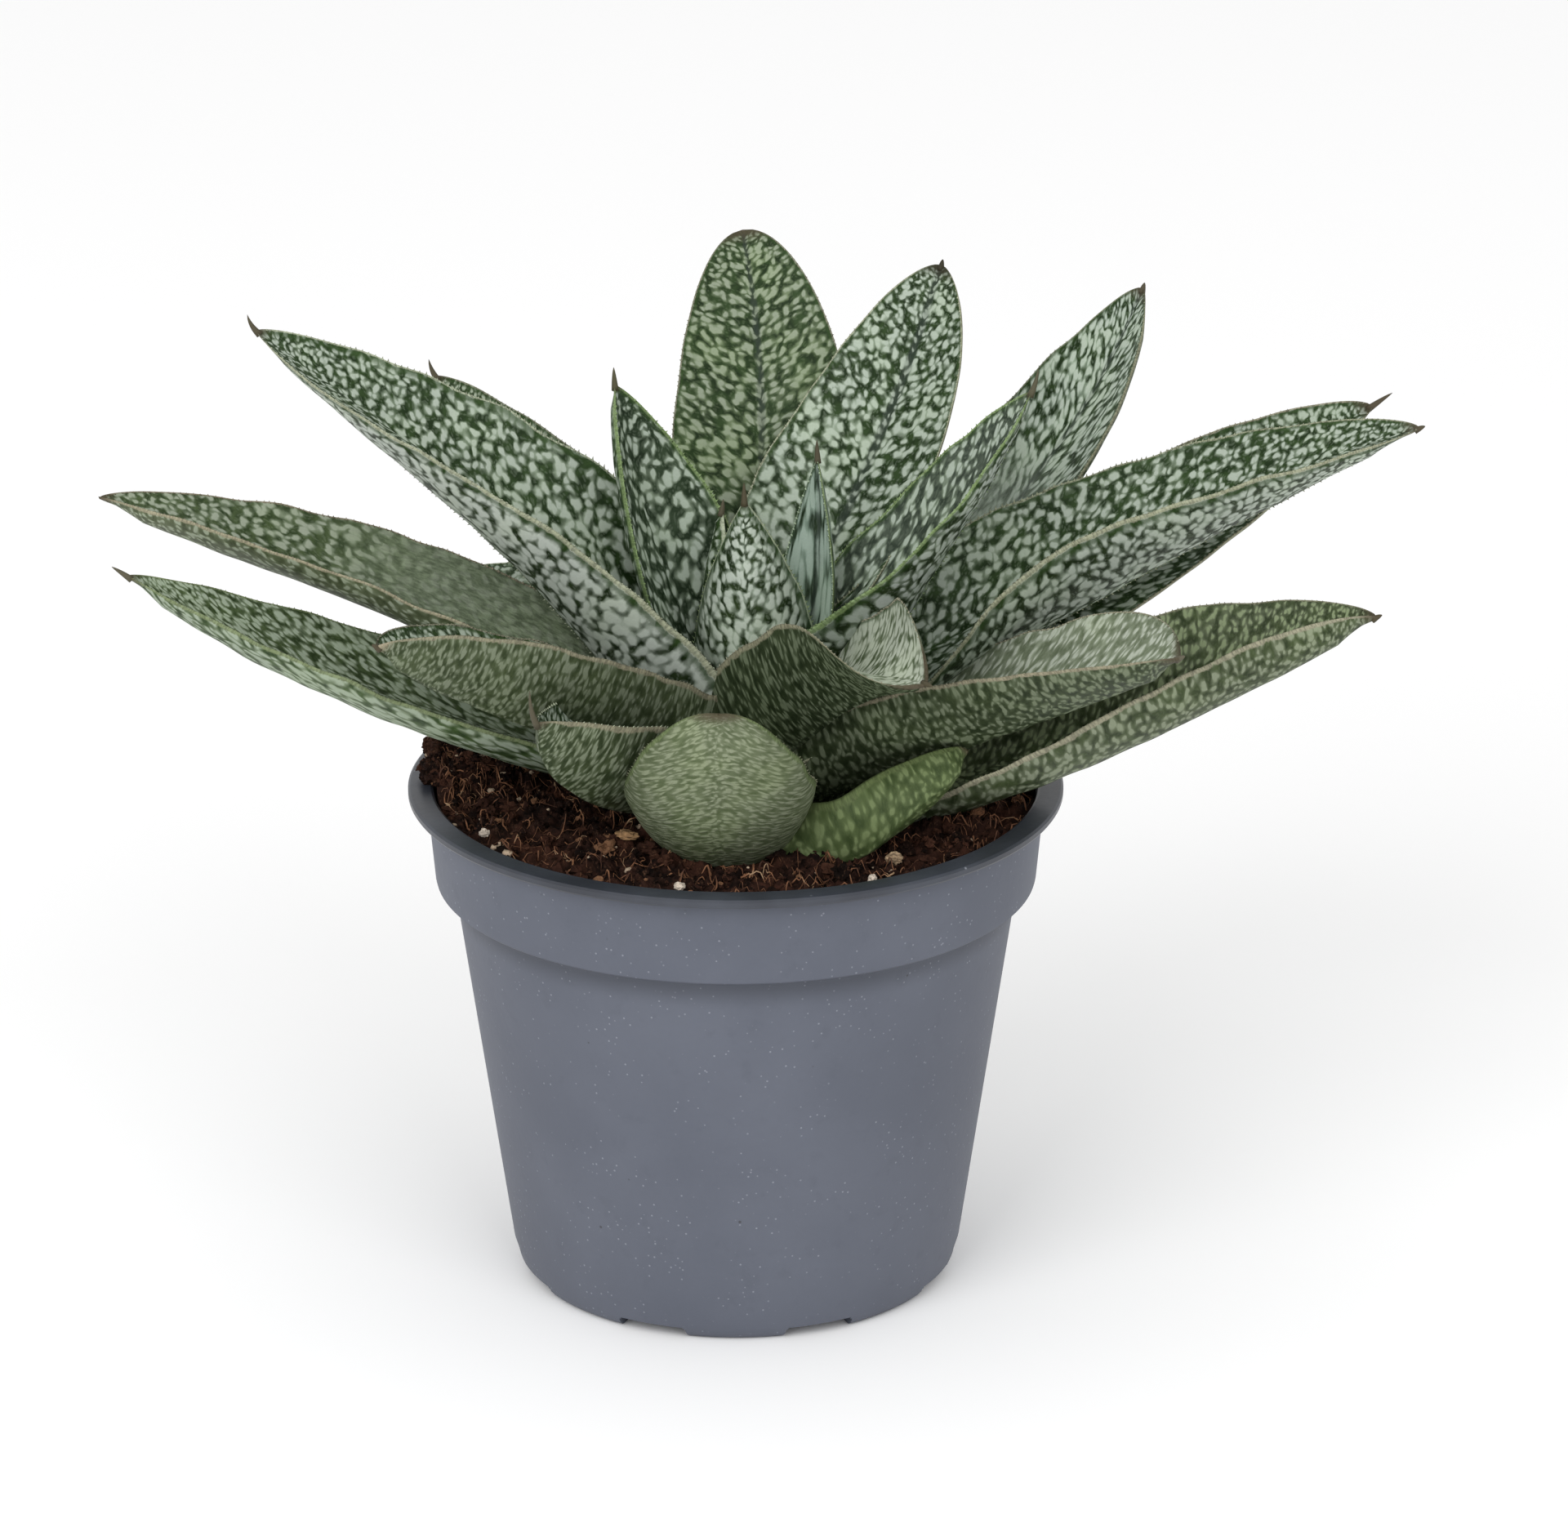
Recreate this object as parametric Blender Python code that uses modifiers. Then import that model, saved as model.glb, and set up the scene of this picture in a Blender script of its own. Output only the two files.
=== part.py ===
"""A gasteria in a 10.5 cm nursery pot: pot, soil, stem with roots, and every leaf as its own solid.

Frame: metres, +Z up, origin on the pot's axis at the height of its feet, -Y the side that faces the viewer.
Sizes below are written in millimetres and scaled by MM.
"""

import math
from dataclasses import dataclass

import bmesh
import bpy
import numpy as np
from mathutils.bvhtree import BVHTree

MM = 0.001
GAP = 0.3

# Pot, outer sizes
RIM_RADIUS = 52.5
RIM_THICKNESS = 1.1
COLLAR_TOP_RADIUS = 49.5
COLLAR_FOOT_RADIUS = 48.3
COLLAR_FOOT_HEIGHT = 66.7
WALL_TOP_RADIUS = 45.2
BASE_RADIUS = 35.7
POT_HEIGHT = 82.6
WALL = 1.2
STEP_DROP = 1.3
FLOOR = 3.2
FOOT_COUNT = 8
FOOT_NOTCH_WIDTH = 11.5
FOOT_NOTCH_HEIGHT = 2.0
FOOT_NOTCH_INNER = 14.0
DRAIN_RADIUS = 3.0
DRAIN_PLACE = 24.0
POT_STEPS = 48

# Soil: how high it stands at the wall, and the heap on the left that rises over the rim
SOIL_LEVEL = 80.3
SOIL_CROWN = 1.2
HEAP_CENTRE = (-45.5, 5.0)
HEAP_HEIGHT = 8.5
HEAP_SPREAD = 9.5
HOLLOW_DEPTH = 6.0
HOLLOW_SPREAD = 20.0
SOIL_STEPS = 36

# Stem and roots
STEM_FOOT = 52.0
STEM_TOP = 104.0
STEM_RADIUS = 7.0
ROOT_COUNT = 6
ROOT_RADIUS = 1.7
ROOT_REACH = 30.0
ROOT_DEPTH = 14.0

# Leaf loft: rings along a leaf, and points across half of a face
RINGS = 11
HALF_POINTS = 3


@dataclass
class Leaf:
    """One leaf, in millimetres and degrees, from the place where it leaves the stem to its tip.

    facing is the compass direction that its underside faces, 0 at +X and 90 at +Y. arch and sway bow the
    midrib up and to the left of its straight chord, at one and two thirds of the way. fold is how steeply the
    two halves rise from the midrib, and roll turns the section to the left: each list is spread from base to tip.
    neck is the base's share of the width, belly the place of the widest section, and blunt shapes the tip.
    hook is how far the spine at the tip bends upwards.
    """

    name: str
    facing: float
    root: tuple
    tip: tuple
    width: float
    fold: tuple
    thick: tuple
    arch: tuple = (0, 0)
    sway: tuple = (0, 0)
    roll: tuple = (0, 0)
    belly: float = 0.4
    neck: float = 0.7
    blunt: float = 0.65
    crease: float = 0.5
    keel: float = 0.3
    spine: float = 1.0
    hook: float = 0.0
    colour: tuple = (0.10, 0.17, 0.10)


YOUNG_GREEN = (0.12, 0.20, 0.12)
OLD_GREEN = (0.13, 0.17, 0.11)
SOIL_GREEN = (0.16, 0.24, 0.08)

# From the heart of the rosette outwards: where two leaves press together, the later one gives way
LEAVES = [
    Leaf("leaf_heart_front", -95, (3, -5, 98), (1.5, -9, 133), 27, (35, 50), (3, 1.5), arch=(-2, -1),
         belly=0.12, neck=0.95, blunt=0.95, crease=0.2, spine=3, hook=0.9, colour=YOUNG_GREEN),
    Leaf("leaf_heart_right", 70, (8, 1, 98), (13, 6, 135), 16, (40, 60), (3, 1), arch=(1, 1), sway=(-4, -2),
         belly=0.3, neck=0.8, blunt=0.9, spine=3, hook=0.9, colour=YOUNG_GREEN),
    Leaf("leaf_heart_left", 150, (-5, -1, 100), (-2, 2, 127.5), 11, (45, 60), (2.5, 1),
         belly=0.3, neck=0.8, blunt=0.9, spine=2, hook=0.9, colour=YOUNG_GREEN),
    Leaf("leaf_inner_right", -8, (4, -3, 97), (46.5, -6, 150), 27, (52, 30, 20), (9, 3, 1.5), arch=(-6, -3),
         roll=(2, 12, 25), belly=0.35, neck=0.8, blunt=0.85, keel=0.8, spine=4, hook=0.9, colour=YOUNG_GREEN),
    Leaf("leaf_inner_left", 150, (-4, 2, 98), (-19, 8, 146.5), 25, (35, 45), (5, 2), arch=(-1, -2),
         roll=(-25, -20), belly=0.35, neck=0.75, blunt=0.8, spine=3, hook=0.9, colour=YOUNG_GREEN),
    Leaf("leaf_back_broad", 50, (1, 1, 94), (33, 32, 159), 34, (25, 8), (5, 2), arch=(-3, -4),
         belly=0.42, neck=0.6, blunt=0.6),
    Leaf("leaf_back_tall", 90, (0, 2, 92), (1, 48, 160), 31, (25, 8), (5, 2), arch=(-4, -5), sway=(-3, -4),
         belly=0.45, neck=0.6, blunt=0.5),
    Leaf("leaf_right_tall", 30, (4, 8, 91.5), (65.5, 34, 154.5), 34, (25, 10), (5, 2), arch=(-9, -10),
         belly=0.45, neck=0.4, blunt=0.65),
    Leaf("leaf_left_long", -178, (-2, 0, 94), (-75.5, 5, 156.5), 33, (46, 38, 18), (13, 6, 1.5), arch=(5, 1),
         roll=(-18, -17, -22), belly=0.3, neck=0.85, blunt=0.75, keel=0.8, spine=3, hook=0.9),
    Leaf("leaf_right_long", -3, (2, 0, 83), (108, 0, 142), 31, (38, 40, 20), (9, 7, 2), arch=(6, 6),
         roll=(30, 45, 10, 8, 12), belly=0.35, neck=0.9, blunt=0.65, keel=0.8),
    Leaf("leaf_left_back", 145, (-2, 1, 92), (-49, 42, 137), 22, (30, 30), (5, 2), arch=(3, 1),
         blunt=0.7, spine=3, hook=0.9),
    Leaf("leaf_right_back", 15, (2, 0, 82), (102.5, 28, 136.5), 28, (30, 25), (7, 2), arch=(0, -0.5),
         roll=(45, 40, 25), belly=0.45, spine=4),
    Leaf("leaf_front_folded", -65, (1, -2, 90), (29.5, -45, 115.5), 30, (45, 50, 50), (6, 2), arch=(0, 6),
         roll=(0, 2, 3, 44), belly=0.5, neck=0.95, blunt=0.27, spine=2, colour=OLD_GREEN),
    Leaf("leaf_front_left", -145, (-2, -1, 90), (-55, -42, 120.5), 30, (45, 40), (5, 2), arch=(-3, -2),
         roll=(5, 10), belly=0.5, blunt=0.68, keel=0.5, colour=OLD_GREEN),
    Leaf("leaf_front_right", -30, (2, -1, 82), (69, -36, 116.5), 32, (42, 31), (5, 2), arch=(-1, 0),
         roll=(-8, -2, 15), belly=0.6, blunt=0.45, colour=OLD_GREEN),
    Leaf("leaf_left_middle", 178, (-2, 0, 84), (-100.5, 0, 130.5), 27, (30, 30), (4, 2.5, 2.5), arch=(5, 3),
         roll=(-8, -4), blunt=0.75, keel=0.6, spine=0.5, colour=OLD_GREEN),
    Leaf("leaf_front_small", -125, (-1, -2, 90), (-30.5, -42, 108), 28, (50, 48), (8, 3), arch=(-6, -8),
         roll=(-5, -5), belly=0.55, blunt=0.75, spine=6, hook=1.5, colour=OLD_GREEN),
    Leaf("leaf_front_short", -90, (0, -2, 82), (-2.5, -46, 111), 32, (26, 10), (12, 3), arch=(-9.5, -11),
         sway=(-0.7, -0.7), belly=0.5, neck=0.8, blunt=0.5, crease=0.0, keel=0.0, spine=0.5, colour=OLD_GREEN),
    Leaf("leaf_right_low", -15, (2, -1, 78), (100.5, -20, 117.5), 31, (40, 42, 40), (7, 6, 2), arch=(-8, -1),
         roll=(45, 28, 0), belly=0.5, blunt=0.7, colour=OLD_GREEN),
    Leaf("leaf_left_low", -172, (-2, 0, 83), (-95.5, -12, 121.5), 26, (25, 25), (6, 2), arch=(-5, -5),
         roll=(-10, -8), belly=0.35, blunt=0.75, keel=0.6, spine=3, colour=OLD_GREEN),
    Leaf("leaf_soil_curled", -20, (3, -13, 80), (36.5, -22, 96), 12.5, (22, 22), (5.5, 5.5, 2), arch=(-3, -3),
         sway=(-12, -6), roll=(-66, -66, -36, -62, -30), belly=0.5, neck=0.8, blunt=0.5, keel=0.1, spine=0.5,
         colour=SOIL_GREEN),
    Leaf("leaf_rear_right", 46, (2, 1, 86), (54, 55, 112), 28, (32, 18), (6, 2), arch=(5, 4), colour=OLD_GREEN),
    Leaf("leaf_rear_tall", 76, (1, 2, 87), (18, 74, 118), 29, (32, 18), (6, 2), arch=(4, 3)),
    Leaf("leaf_rear_low", 104, (0, 2, 80), (-19, 74, 103), 28, (32, 18), (6, 2), arch=(4, 4), colour=OLD_GREEN),
    Leaf("leaf_rear_left", 133, (-1, 2, 84), (-46, 52, 100), 27, (32, 18), (6, 2), arch=(4, 4), colour=OLD_GREEN),
]

# Bits on the soil: name, place, length, width, height, turn and colour
PERLITE = (0.62, 0.56, 0.47)
BARK = (0.25, 0.15, 0.09)
BITS = [
    ("perlite_front", (-8.5, -43.5), (2.4, 1.9, 1.5), 20, PERLITE),
    ("perlite_front_right", (21.5, -41.0), (2.2, 1.8, 1.5), 70, PERLITE),
    ("perlite_left", (-39.5, -22.0), (2.2, 2.0, 1.6), 0, PERLITE),
    ("bark_front_left", (-17.0, -24.0), (5.5, 2.2, 1.6), -35, BARK),
    ("bark_front_right", (25.0, -33.5), (3.6, 2.8, 2.4), 15, PERLITE),
    ("bark_right", (38.5, -12.5), (4.2, 2.0, 1.6), 60, BARK),
]


def clear_scene():
    for obj in list(bpy.data.objects):
        bpy.data.objects.remove(obj, do_unlink=True)


def new_collection(name):
    collection = bpy.data.collections.new(name)
    bpy.context.scene.collection.children.link(collection)
    return collection


def material(name, colour, roughness):
    mat = bpy.data.materials.new(name)
    mat.use_nodes = True
    shader = mat.node_tree.nodes["Principled BSDF"]
    shader.inputs["Base Color"].default_value = (*colour, 1)
    shader.inputs["Roughness"].default_value = roughness
    shader.inputs["Metallic"].default_value = 0.0
    return mat


def add_object(name, mesh, collection):
    obj = bpy.data.objects.new(name, mesh)
    collection.objects.link(obj)
    return obj


def mesh_from(name, points, faces):
    mesh = bpy.data.meshes.new(name)
    mesh.from_pydata([tuple(p) for p in points], [], faces)
    mesh.validate()
    return mesh


def hide_cutter(obj):
    obj.hide_render = True
    obj.display_type = "WIRE"


def applied(obj):
    """The object with its modifiers worked into a plain mesh, and its edges welded."""
    depsgraph = bpy.context.evaluated_depsgraph_get()
    mesh = bpy.data.meshes.new_from_object(obj.evaluated_get(depsgraph))
    mesh.transform(obj.matrix_world)
    edit = bmesh.new()
    edit.from_mesh(mesh)
    bmesh.ops.remove_doubles(edit, verts=edit.verts, dist=1e-7)
    edit.to_mesh(mesh)
    edit.free()
    fresh = add_object(obj.name + "_applied", mesh, obj.users_collection[0])
    name = obj.name
    bpy.data.objects.remove(obj, do_unlink=True)
    fresh.name = name
    mesh.name = name
    return fresh


def boolean(obj, cutter, operation="DIFFERENCE"):
    mod = obj.modifiers.new(cutter.name, "BOOLEAN")
    mod.operation = operation
    mod.solver = "EXACT"
    mod.object = cutter


def turned(name, profile, steps, collection):
    """A closed profile of (radius, height) points in millimetres, turned about the Z axis."""
    points = [(r * MM, 0, z * MM) for r, z in profile]
    mesh = bpy.data.meshes.new(name)
    mesh.from_pydata(points, [(i, i + 1) for i in range(len(points) - 1)], [])
    obj = add_object(name, mesh, collection)
    screw = obj.modifiers.new("turn", "SCREW")
    screw.steps = steps
    screw.render_steps = steps
    screw.use_merge_vertices = True
    screw.merge_threshold = 1e-5
    return obj


def largest_piece(obj):
    """Drop the offcuts that a cut leaves, and keep the largest connected piece."""
    edit = bmesh.new()
    edit.from_mesh(obj.data)
    left = set(edit.verts)
    pieces = []
    while left:
        stack = [left.pop()]
        piece = set(stack)
        while stack:
            for edge in stack.pop().link_edges:
                for vert in edge.verts:
                    if vert in left:
                        left.remove(vert)
                        piece.add(vert)
                        stack.append(vert)
        pieces.append(piece)
    pieces.sort(key=len)
    for piece in pieces[:-1]:
        bmesh.ops.delete(edit, geom=list(piece), context="VERTS")
    edit.to_mesh(obj.data)
    edit.free()


def tree_of(mesh):
    return BVHTree.FromPolygons([v.co for v in mesh.vertices], [p.vertices for p in mesh.polygons])


def spread(values, t):
    """Values set at even steps from base to tip, joined by a smooth curve through them."""
    values = np.asarray(values, float)
    if len(values) == 2:
        return values[0] + (values[1] - values[0]) * t
    place = t * (len(values) - 1)
    step = np.clip(place.astype(int), 0, len(values) - 2)
    f = place - step
    ends = ([2 * values[0] - values[1]], values, [2 * values[-1] - values[-2]])
    padded = np.concatenate(ends)
    a, b, c, d = (padded[step + k] for k in range(4))
    return 0.5 * (2 * b + (c - a) * f + (2 * a - 5 * b + 4 * c - d) * f**2 + (3 * b - a - 3 * c + d) * f**3)


def unit(vectors):
    return vectors / np.linalg.norm(vectors, axis=-1, keepdims=True)


def midrib(leaf, t):
    """Points and directions of the leaf's midrib, a cubic curve that its arch and sway bow."""
    root = np.array(leaf.root, float)
    tip = np.array(leaf.tip, float)
    turn = math.radians(leaf.facing)
    outward = np.array([math.cos(turn), math.sin(turn), 0])
    chord = tip - root
    level = np.array([chord[0], chord[1], 0])
    upright = np.linalg.norm(level) < 8
    side = unit(np.cross([0, 0, 1], outward if upright else level))
    lift = np.cross(unit(chord), side)
    first = root + chord / 3 + 4 / 3 * (leaf.arch[0] * lift + leaf.sway[0] * side)
    second = root + chord * 2 / 3 + 4 / 3 * (leaf.arch[1] * lift + leaf.sway[1] * side)
    s = t[:, None]
    points = (1 - s)**3 * root + 3 * (1 - s)**2 * s * first + 3 * (1 - s) * s**2 * second + s**3 * tip
    along = (1 - s)**2 * (first - root) + 2 * (1 - s) * s * (second - first) + s**2 * (tip - second)
    return points, unit(along)


def leaf_rings(leaf):
    """Closed rings of points round the leaf, from its base to its tip, and the point of its spine."""
    t = 1 - (1 - np.linspace(0, 1, RINGS + 1)) ** 1.15
    points, along = midrib(leaf, t)
    turn = math.radians(leaf.facing)
    left = np.array([-math.sin(turn), math.cos(turn), 0])
    side = unit(left - (along @ left)[:, None] * along)
    up = np.cross(along, side)
    roll = np.radians(spread(leaf.roll, t))[:, None]
    side, up = side * np.cos(roll) + up * np.sin(roll), up * np.cos(roll) - side * np.sin(roll)
    rise = leaf.neck + (1 - leaf.neck) * np.sin(np.clip(t / leaf.belly, 0, 1) * np.pi / 2)
    fall = np.maximum(1 - np.clip((t - leaf.belly) / (1 - leaf.belly), 0, 1) ** 2, 0) ** leaf.blunt
    share = np.where(t < leaf.belly, rise, fall)
    half_width = leaf.width / 2 * share
    fold = np.radians(np.maximum(spread(leaf.fold, t), 1))
    thick = spread(leaf.thick, t) * np.minimum(1, 0.35 + share)
    across = np.linspace(-1, 1, 2 * HALF_POINTS + 1)
    u = np.concatenate([across, across[-2:0:-1]])
    on_top = np.arange(len(u)) < len(across)
    reach = np.abs(u)
    rings = []
    for i in range(RINGS):
        f = fold[i]
        flat = leaf.crease * reach * math.cos(f) + (1 - leaf.crease) * np.sin(2 * f * reach) / (2 * f)
        high = leaf.crease * reach * math.sin(f) + (1 - leaf.crease) * (1 - np.cos(2 * f * reach)) / (2 * f)
        body = leaf.keel * (1 - reach) + (1 - leaf.keel) * np.sqrt(1 - reach**2)
        offset = np.where(on_top, 0.0, -thick[i] * body)
        ring = points[i] + np.outer(flat * np.sign(u) * half_width[i], side[i])
        rings.append(ring + np.outer(high * half_width[i] + offset, up[i]))
    spine = points[-1] + unit(along[-1] + np.array([0, 0, leaf.hook])) * leaf.spine
    return np.array(rings), spine


def leaf_mesh(leaf, name, grow=0.0):
    """A loft through the leaf's rings, closed flat at the base and to a point at the tip.

    grow moves the whole skin outwards, for the room that a later leaf or the soil has to leave.
    """
    rings, spine = leaf_rings(leaf)
    count = rings.shape[1]
    points = np.concatenate([rings.reshape(-1, 3), [spine]]) * MM
    faces = []
    for i in range(len(rings) - 1):
        for j in range(count):
            k = (j + 1) % count
            a, b, c, d = i * count + j, i * count + k, (i + 1) * count + k, (i + 1) * count + j
            faces += [(a, b, c), (a, c, d)]
    last = (len(rings) - 1) * count
    for j in range(count):
        faces.append((last + j, last + (j + 1) % count, len(points) - 1))
    faces.append(tuple(reversed(range(count))))
    mesh = mesh_from(name, points, faces)
    edit = bmesh.new()
    edit.from_mesh(mesh)
    bmesh.ops.triangulate(edit, faces=edit.faces)
    bmesh.ops.recalc_face_normals(edit, faces=edit.faces)
    edit.normal_update()
    moved = {vert: vert.normal * min(vert.calc_shell_factor(), 2.5) * grow * MM for vert in edit.verts}
    for vert, step in moved.items():
        vert.co += step
    edit.to_mesh(mesh)
    edit.free()
    return mesh


def pot_profile():
    """Inner floor and wall, over the rim, and down the outside to the middle of the underside."""
    lean = (WALL_TOP_RADIUS - BASE_RADIUS) / (COLLAR_FOOT_HEIGHT - STEP_DROP)
    return [
        (0, FLOOR),
        (BASE_RADIUS - WALL - 2, FLOOR),
        (BASE_RADIUS - WALL + lean * (FLOOR + 2), FLOOR + 2),
        (WALL_TOP_RADIUS - WALL, COLLAR_FOOT_HEIGHT),
        (COLLAR_FOOT_RADIUS - WALL, COLLAR_FOOT_HEIGHT + 1.5),
        (COLLAR_TOP_RADIUS - WALL, POT_HEIGHT - 0.6),
        (COLLAR_TOP_RADIUS - WALL + 0.5, POT_HEIGHT),
        (RIM_RADIUS - 0.8, POT_HEIGHT),
        (RIM_RADIUS, POT_HEIGHT - 0.5),
        (RIM_RADIUS - 0.1, POT_HEIGHT - RIM_THICKNESS - 0.4),
        (RIM_RADIUS - 0.9, POT_HEIGHT - RIM_THICKNESS - 0.3),
        (COLLAR_TOP_RADIUS + 0.4, POT_HEIGHT - RIM_THICKNESS - 0.2),
        (COLLAR_TOP_RADIUS, POT_HEIGHT - RIM_THICKNESS - 1),
        (COLLAR_FOOT_RADIUS, COLLAR_FOOT_HEIGHT + 0.6),
        (COLLAR_FOOT_RADIUS - 0.6, COLLAR_FOOT_HEIGHT),
        (WALL_TOP_RADIUS + 0.3, COLLAR_FOOT_HEIGHT - STEP_DROP + 0.3),
        (WALL_TOP_RADIUS, COLLAR_FOOT_HEIGHT - STEP_DROP - 0.6),
        (BASE_RADIUS + lean * 5, 5),
        (BASE_RADIUS - 0.1, 2.4),
        (BASE_RADIUS - 0.8, 0.9),
        (BASE_RADIUS - 2, 0),
        (0, 0),
    ]


def notch_cutter(index, collection):
    """A box across the foot ring, which splits it into feet and lets water out under the pot."""
    edit = bmesh.new()
    bmesh.ops.create_cube(edit, size=1)
    length = BASE_RADIUS + 4 - FOOT_NOTCH_INNER
    bmesh.ops.scale(edit, verts=edit.verts, vec=(length * MM, FOOT_NOTCH_WIDTH * MM, FOOT_NOTCH_HEIGHT * 2 * MM))
    bmesh.ops.translate(edit, verts=edit.verts, vec=((FOOT_NOTCH_INNER + length / 2) * MM, 0, 0))
    mesh = bpy.data.meshes.new(f"notch_{index}")
    edit.to_mesh(mesh)
    edit.free()
    cutter = add_object(f"notch_{index}", mesh, collection)
    cutter.rotation_euler[2] = notch_angle(index)
    hide_cutter(cutter)
    return cutter


def drain_cutter(index, collection):
    """A round drain hole through the floor, in the middle of each notch."""
    edit = bmesh.new()
    radius = DRAIN_RADIUS * MM
    bmesh.ops.create_cone(edit, cap_ends=True, segments=16, radius1=radius, radius2=radius, depth=4 * FLOOR * MM)
    mesh = bpy.data.meshes.new(f"drain_{index}")
    edit.to_mesh(mesh)
    edit.free()
    cutter = add_object(f"drain_{index}", mesh, collection)
    angle = notch_angle(index)
    cutter.location = (DRAIN_PLACE * math.cos(angle) * MM, DRAIN_PLACE * math.sin(angle) * MM, 0)
    hide_cutter(cutter)
    return cutter


def notch_angle(index):
    pitch = 2 * math.pi / FOOT_COUNT
    return -math.pi / 2 + pitch * (index + 0.5)


def build_pot(parts, cutters):
    pot = turned("pot", pot_profile(), POT_STEPS, parts)
    pot.data.materials.append(material("pot_plastic", (0.13, 0.16, 0.21), 0.5))
    for index in range(FOOT_COUNT):
        boolean(pot, notch_cutter(index, cutters))
        boolean(pot, drain_cutter(index, cutters))
    return pot


def soil_height(x, y):
    """Height of the soil's surface in millimetres: a low crown, a hollow under the rosette, and the heap."""
    away = math.hypot(x - HEAP_CENTRE[0], y - HEAP_CENTRE[1]) / HEAP_SPREAD
    crown = SOIL_CROWN * (1 - (math.hypot(x, y) / COLLAR_TOP_RADIUS) ** 2)
    hollow = HOLLOW_DEPTH * math.exp(-(math.hypot(x, y) / HOLLOW_SPREAD) ** 4)
    ripple = 0.35 * math.sin(0.31 * x + 1.0) * math.cos(0.27 * y - 0.4)
    return SOIL_LEVEL + crown + HEAP_HEIGHT * math.exp(-away**2) - hollow + ripple


def build_soil(parts):
    lean = (WALL_TOP_RADIUS - BASE_RADIUS) / (COLLAR_FOOT_HEIGHT - STEP_DROP)
    inset = WALL + GAP + 0.1
    top_radius = COLLAR_TOP_RADIUS - inset
    profile = [(top_radius * k / 9, SOIL_LEVEL) for k in range(10)]
    profile += [
        (COLLAR_FOOT_RADIUS - inset, COLLAR_FOOT_HEIGHT + 1.8),
        (WALL_TOP_RADIUS - inset, COLLAR_FOOT_HEIGHT),
        (BASE_RADIUS - inset + lean * (FLOOR + 3), FLOOR + 3),
        (BASE_RADIUS - inset - 2.4, FLOOR + GAP),
        (0, FLOOR + GAP),
    ]
    soil = applied(turned("soil", profile, SOIL_STEPS, parts))
    for vert in soil.data.vertices:
        if vert.co.z > (SOIL_LEVEL - 0.01) * MM:
            vert.co.z = soil_height(vert.co.x / MM, vert.co.y / MM) * MM
    soil.data.materials.append(material("peat_soil", (0.055, 0.032, 0.022), 0.95))
    return soil


def root_path(index, grow):
    """A fleshy root that leaves the foot of the stem and bends outwards and down."""
    angle = 2 * math.pi * index / ROOT_COUNT + 0.4
    points = []
    for k in range(9):
        s = k / 8
        out = ROOT_REACH * s
        bend = angle + 0.5 * s * (-1) ** index
        height = STEM_FOOT + 5 - (ROOT_DEPTH + 4 * (index % 3)) * s**1.4
        points.append(np.array((out * math.cos(bend), out * math.sin(bend), height)))
    points[-1] = points[-1] + unit(points[-1] - points[-2]) * grow
    return points


def root_tube(name, index, grow, collection):
    curve = bpy.data.curves.new(name, "CURVE")
    curve.dimensions = "3D"
    curve.bevel_depth = (ROOT_RADIUS + grow) * MM
    curve.bevel_resolution = 2
    curve.use_fill_caps = True
    spline = curve.splines.new("POLY")
    path = root_path(index, grow)
    spline.points.add(len(path) - 1)
    for k, point in enumerate(path):
        spline.points[k].co = (*(c * MM for c in point), 1)
        spline.points[k].radius = 1 - 0.5 * k / (len(path) - 1)
    return applied(add_object(name, curve, collection))


def stem_body(name, grow, parts, tools):
    """The short stem, from below its roots to the growing point among the youngest leaves."""
    profile = [
        (0, STEM_TOP + grow),
        (2.4 + grow, STEM_TOP - 0.8 + grow),
        (4.6 + grow, STEM_TOP - 4),
        (STEM_RADIUS - 0.6 + grow, STEM_TOP - 10),
        (STEM_RADIUS + grow, STEM_TOP - 18),
        (STEM_RADIUS + grow, STEM_FOOT + 12),
        (STEM_RADIUS - 1 + grow, STEM_FOOT + 3),
        (3.5 + grow, STEM_FOOT - grow),
        (0, STEM_FOOT - grow),
    ]
    stem = turned(name, profile, 20, parts)
    for index in range(ROOT_COUNT):
        tube = root_tube(f"{name}_root_{index}", index, grow, tools)
        hide_cutter(tube)
        boolean(stem, tube, "UNION")
    return applied(stem)


def build_leaves(parts, tools, stem_cutter):
    """Each leaf, cut back where it would press into the stem or into a leaf nearer the heart."""
    grown = [(stem_cutter, tree_of(stem_cutter.data))]
    for leaf in LEAVES:
        obj = add_object(leaf.name, leaf_mesh(leaf, leaf.name), parts)
        tree = tree_of(obj.data)
        touching = [cutter for cutter, other in grown if tree.overlap(other)]
        for cutter in touching:
            boolean(obj, cutter)
        if touching:
            obj = applied(obj)
            largest_piece(obj)
        obj.data.materials.append(material(leaf.name + "_skin", leaf.colour, 0.45))
        cutter = add_object(leaf.name + "_room", leaf_mesh(leaf, leaf.name + "_room", GAP), tools)
        hide_cutter(cutter)
        grown.append((cutter, tree_of(cutter.data)))
    return [cutter for cutter, _ in grown]


def make_room_in_soil(soil, rooms):
    tree = tree_of(soil.data)
    for room in rooms:
        if tree.overlap(tree_of(room.data)):
            boolean(soil, room)
    soil = applied(soil)
    largest_piece(soil)


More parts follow.
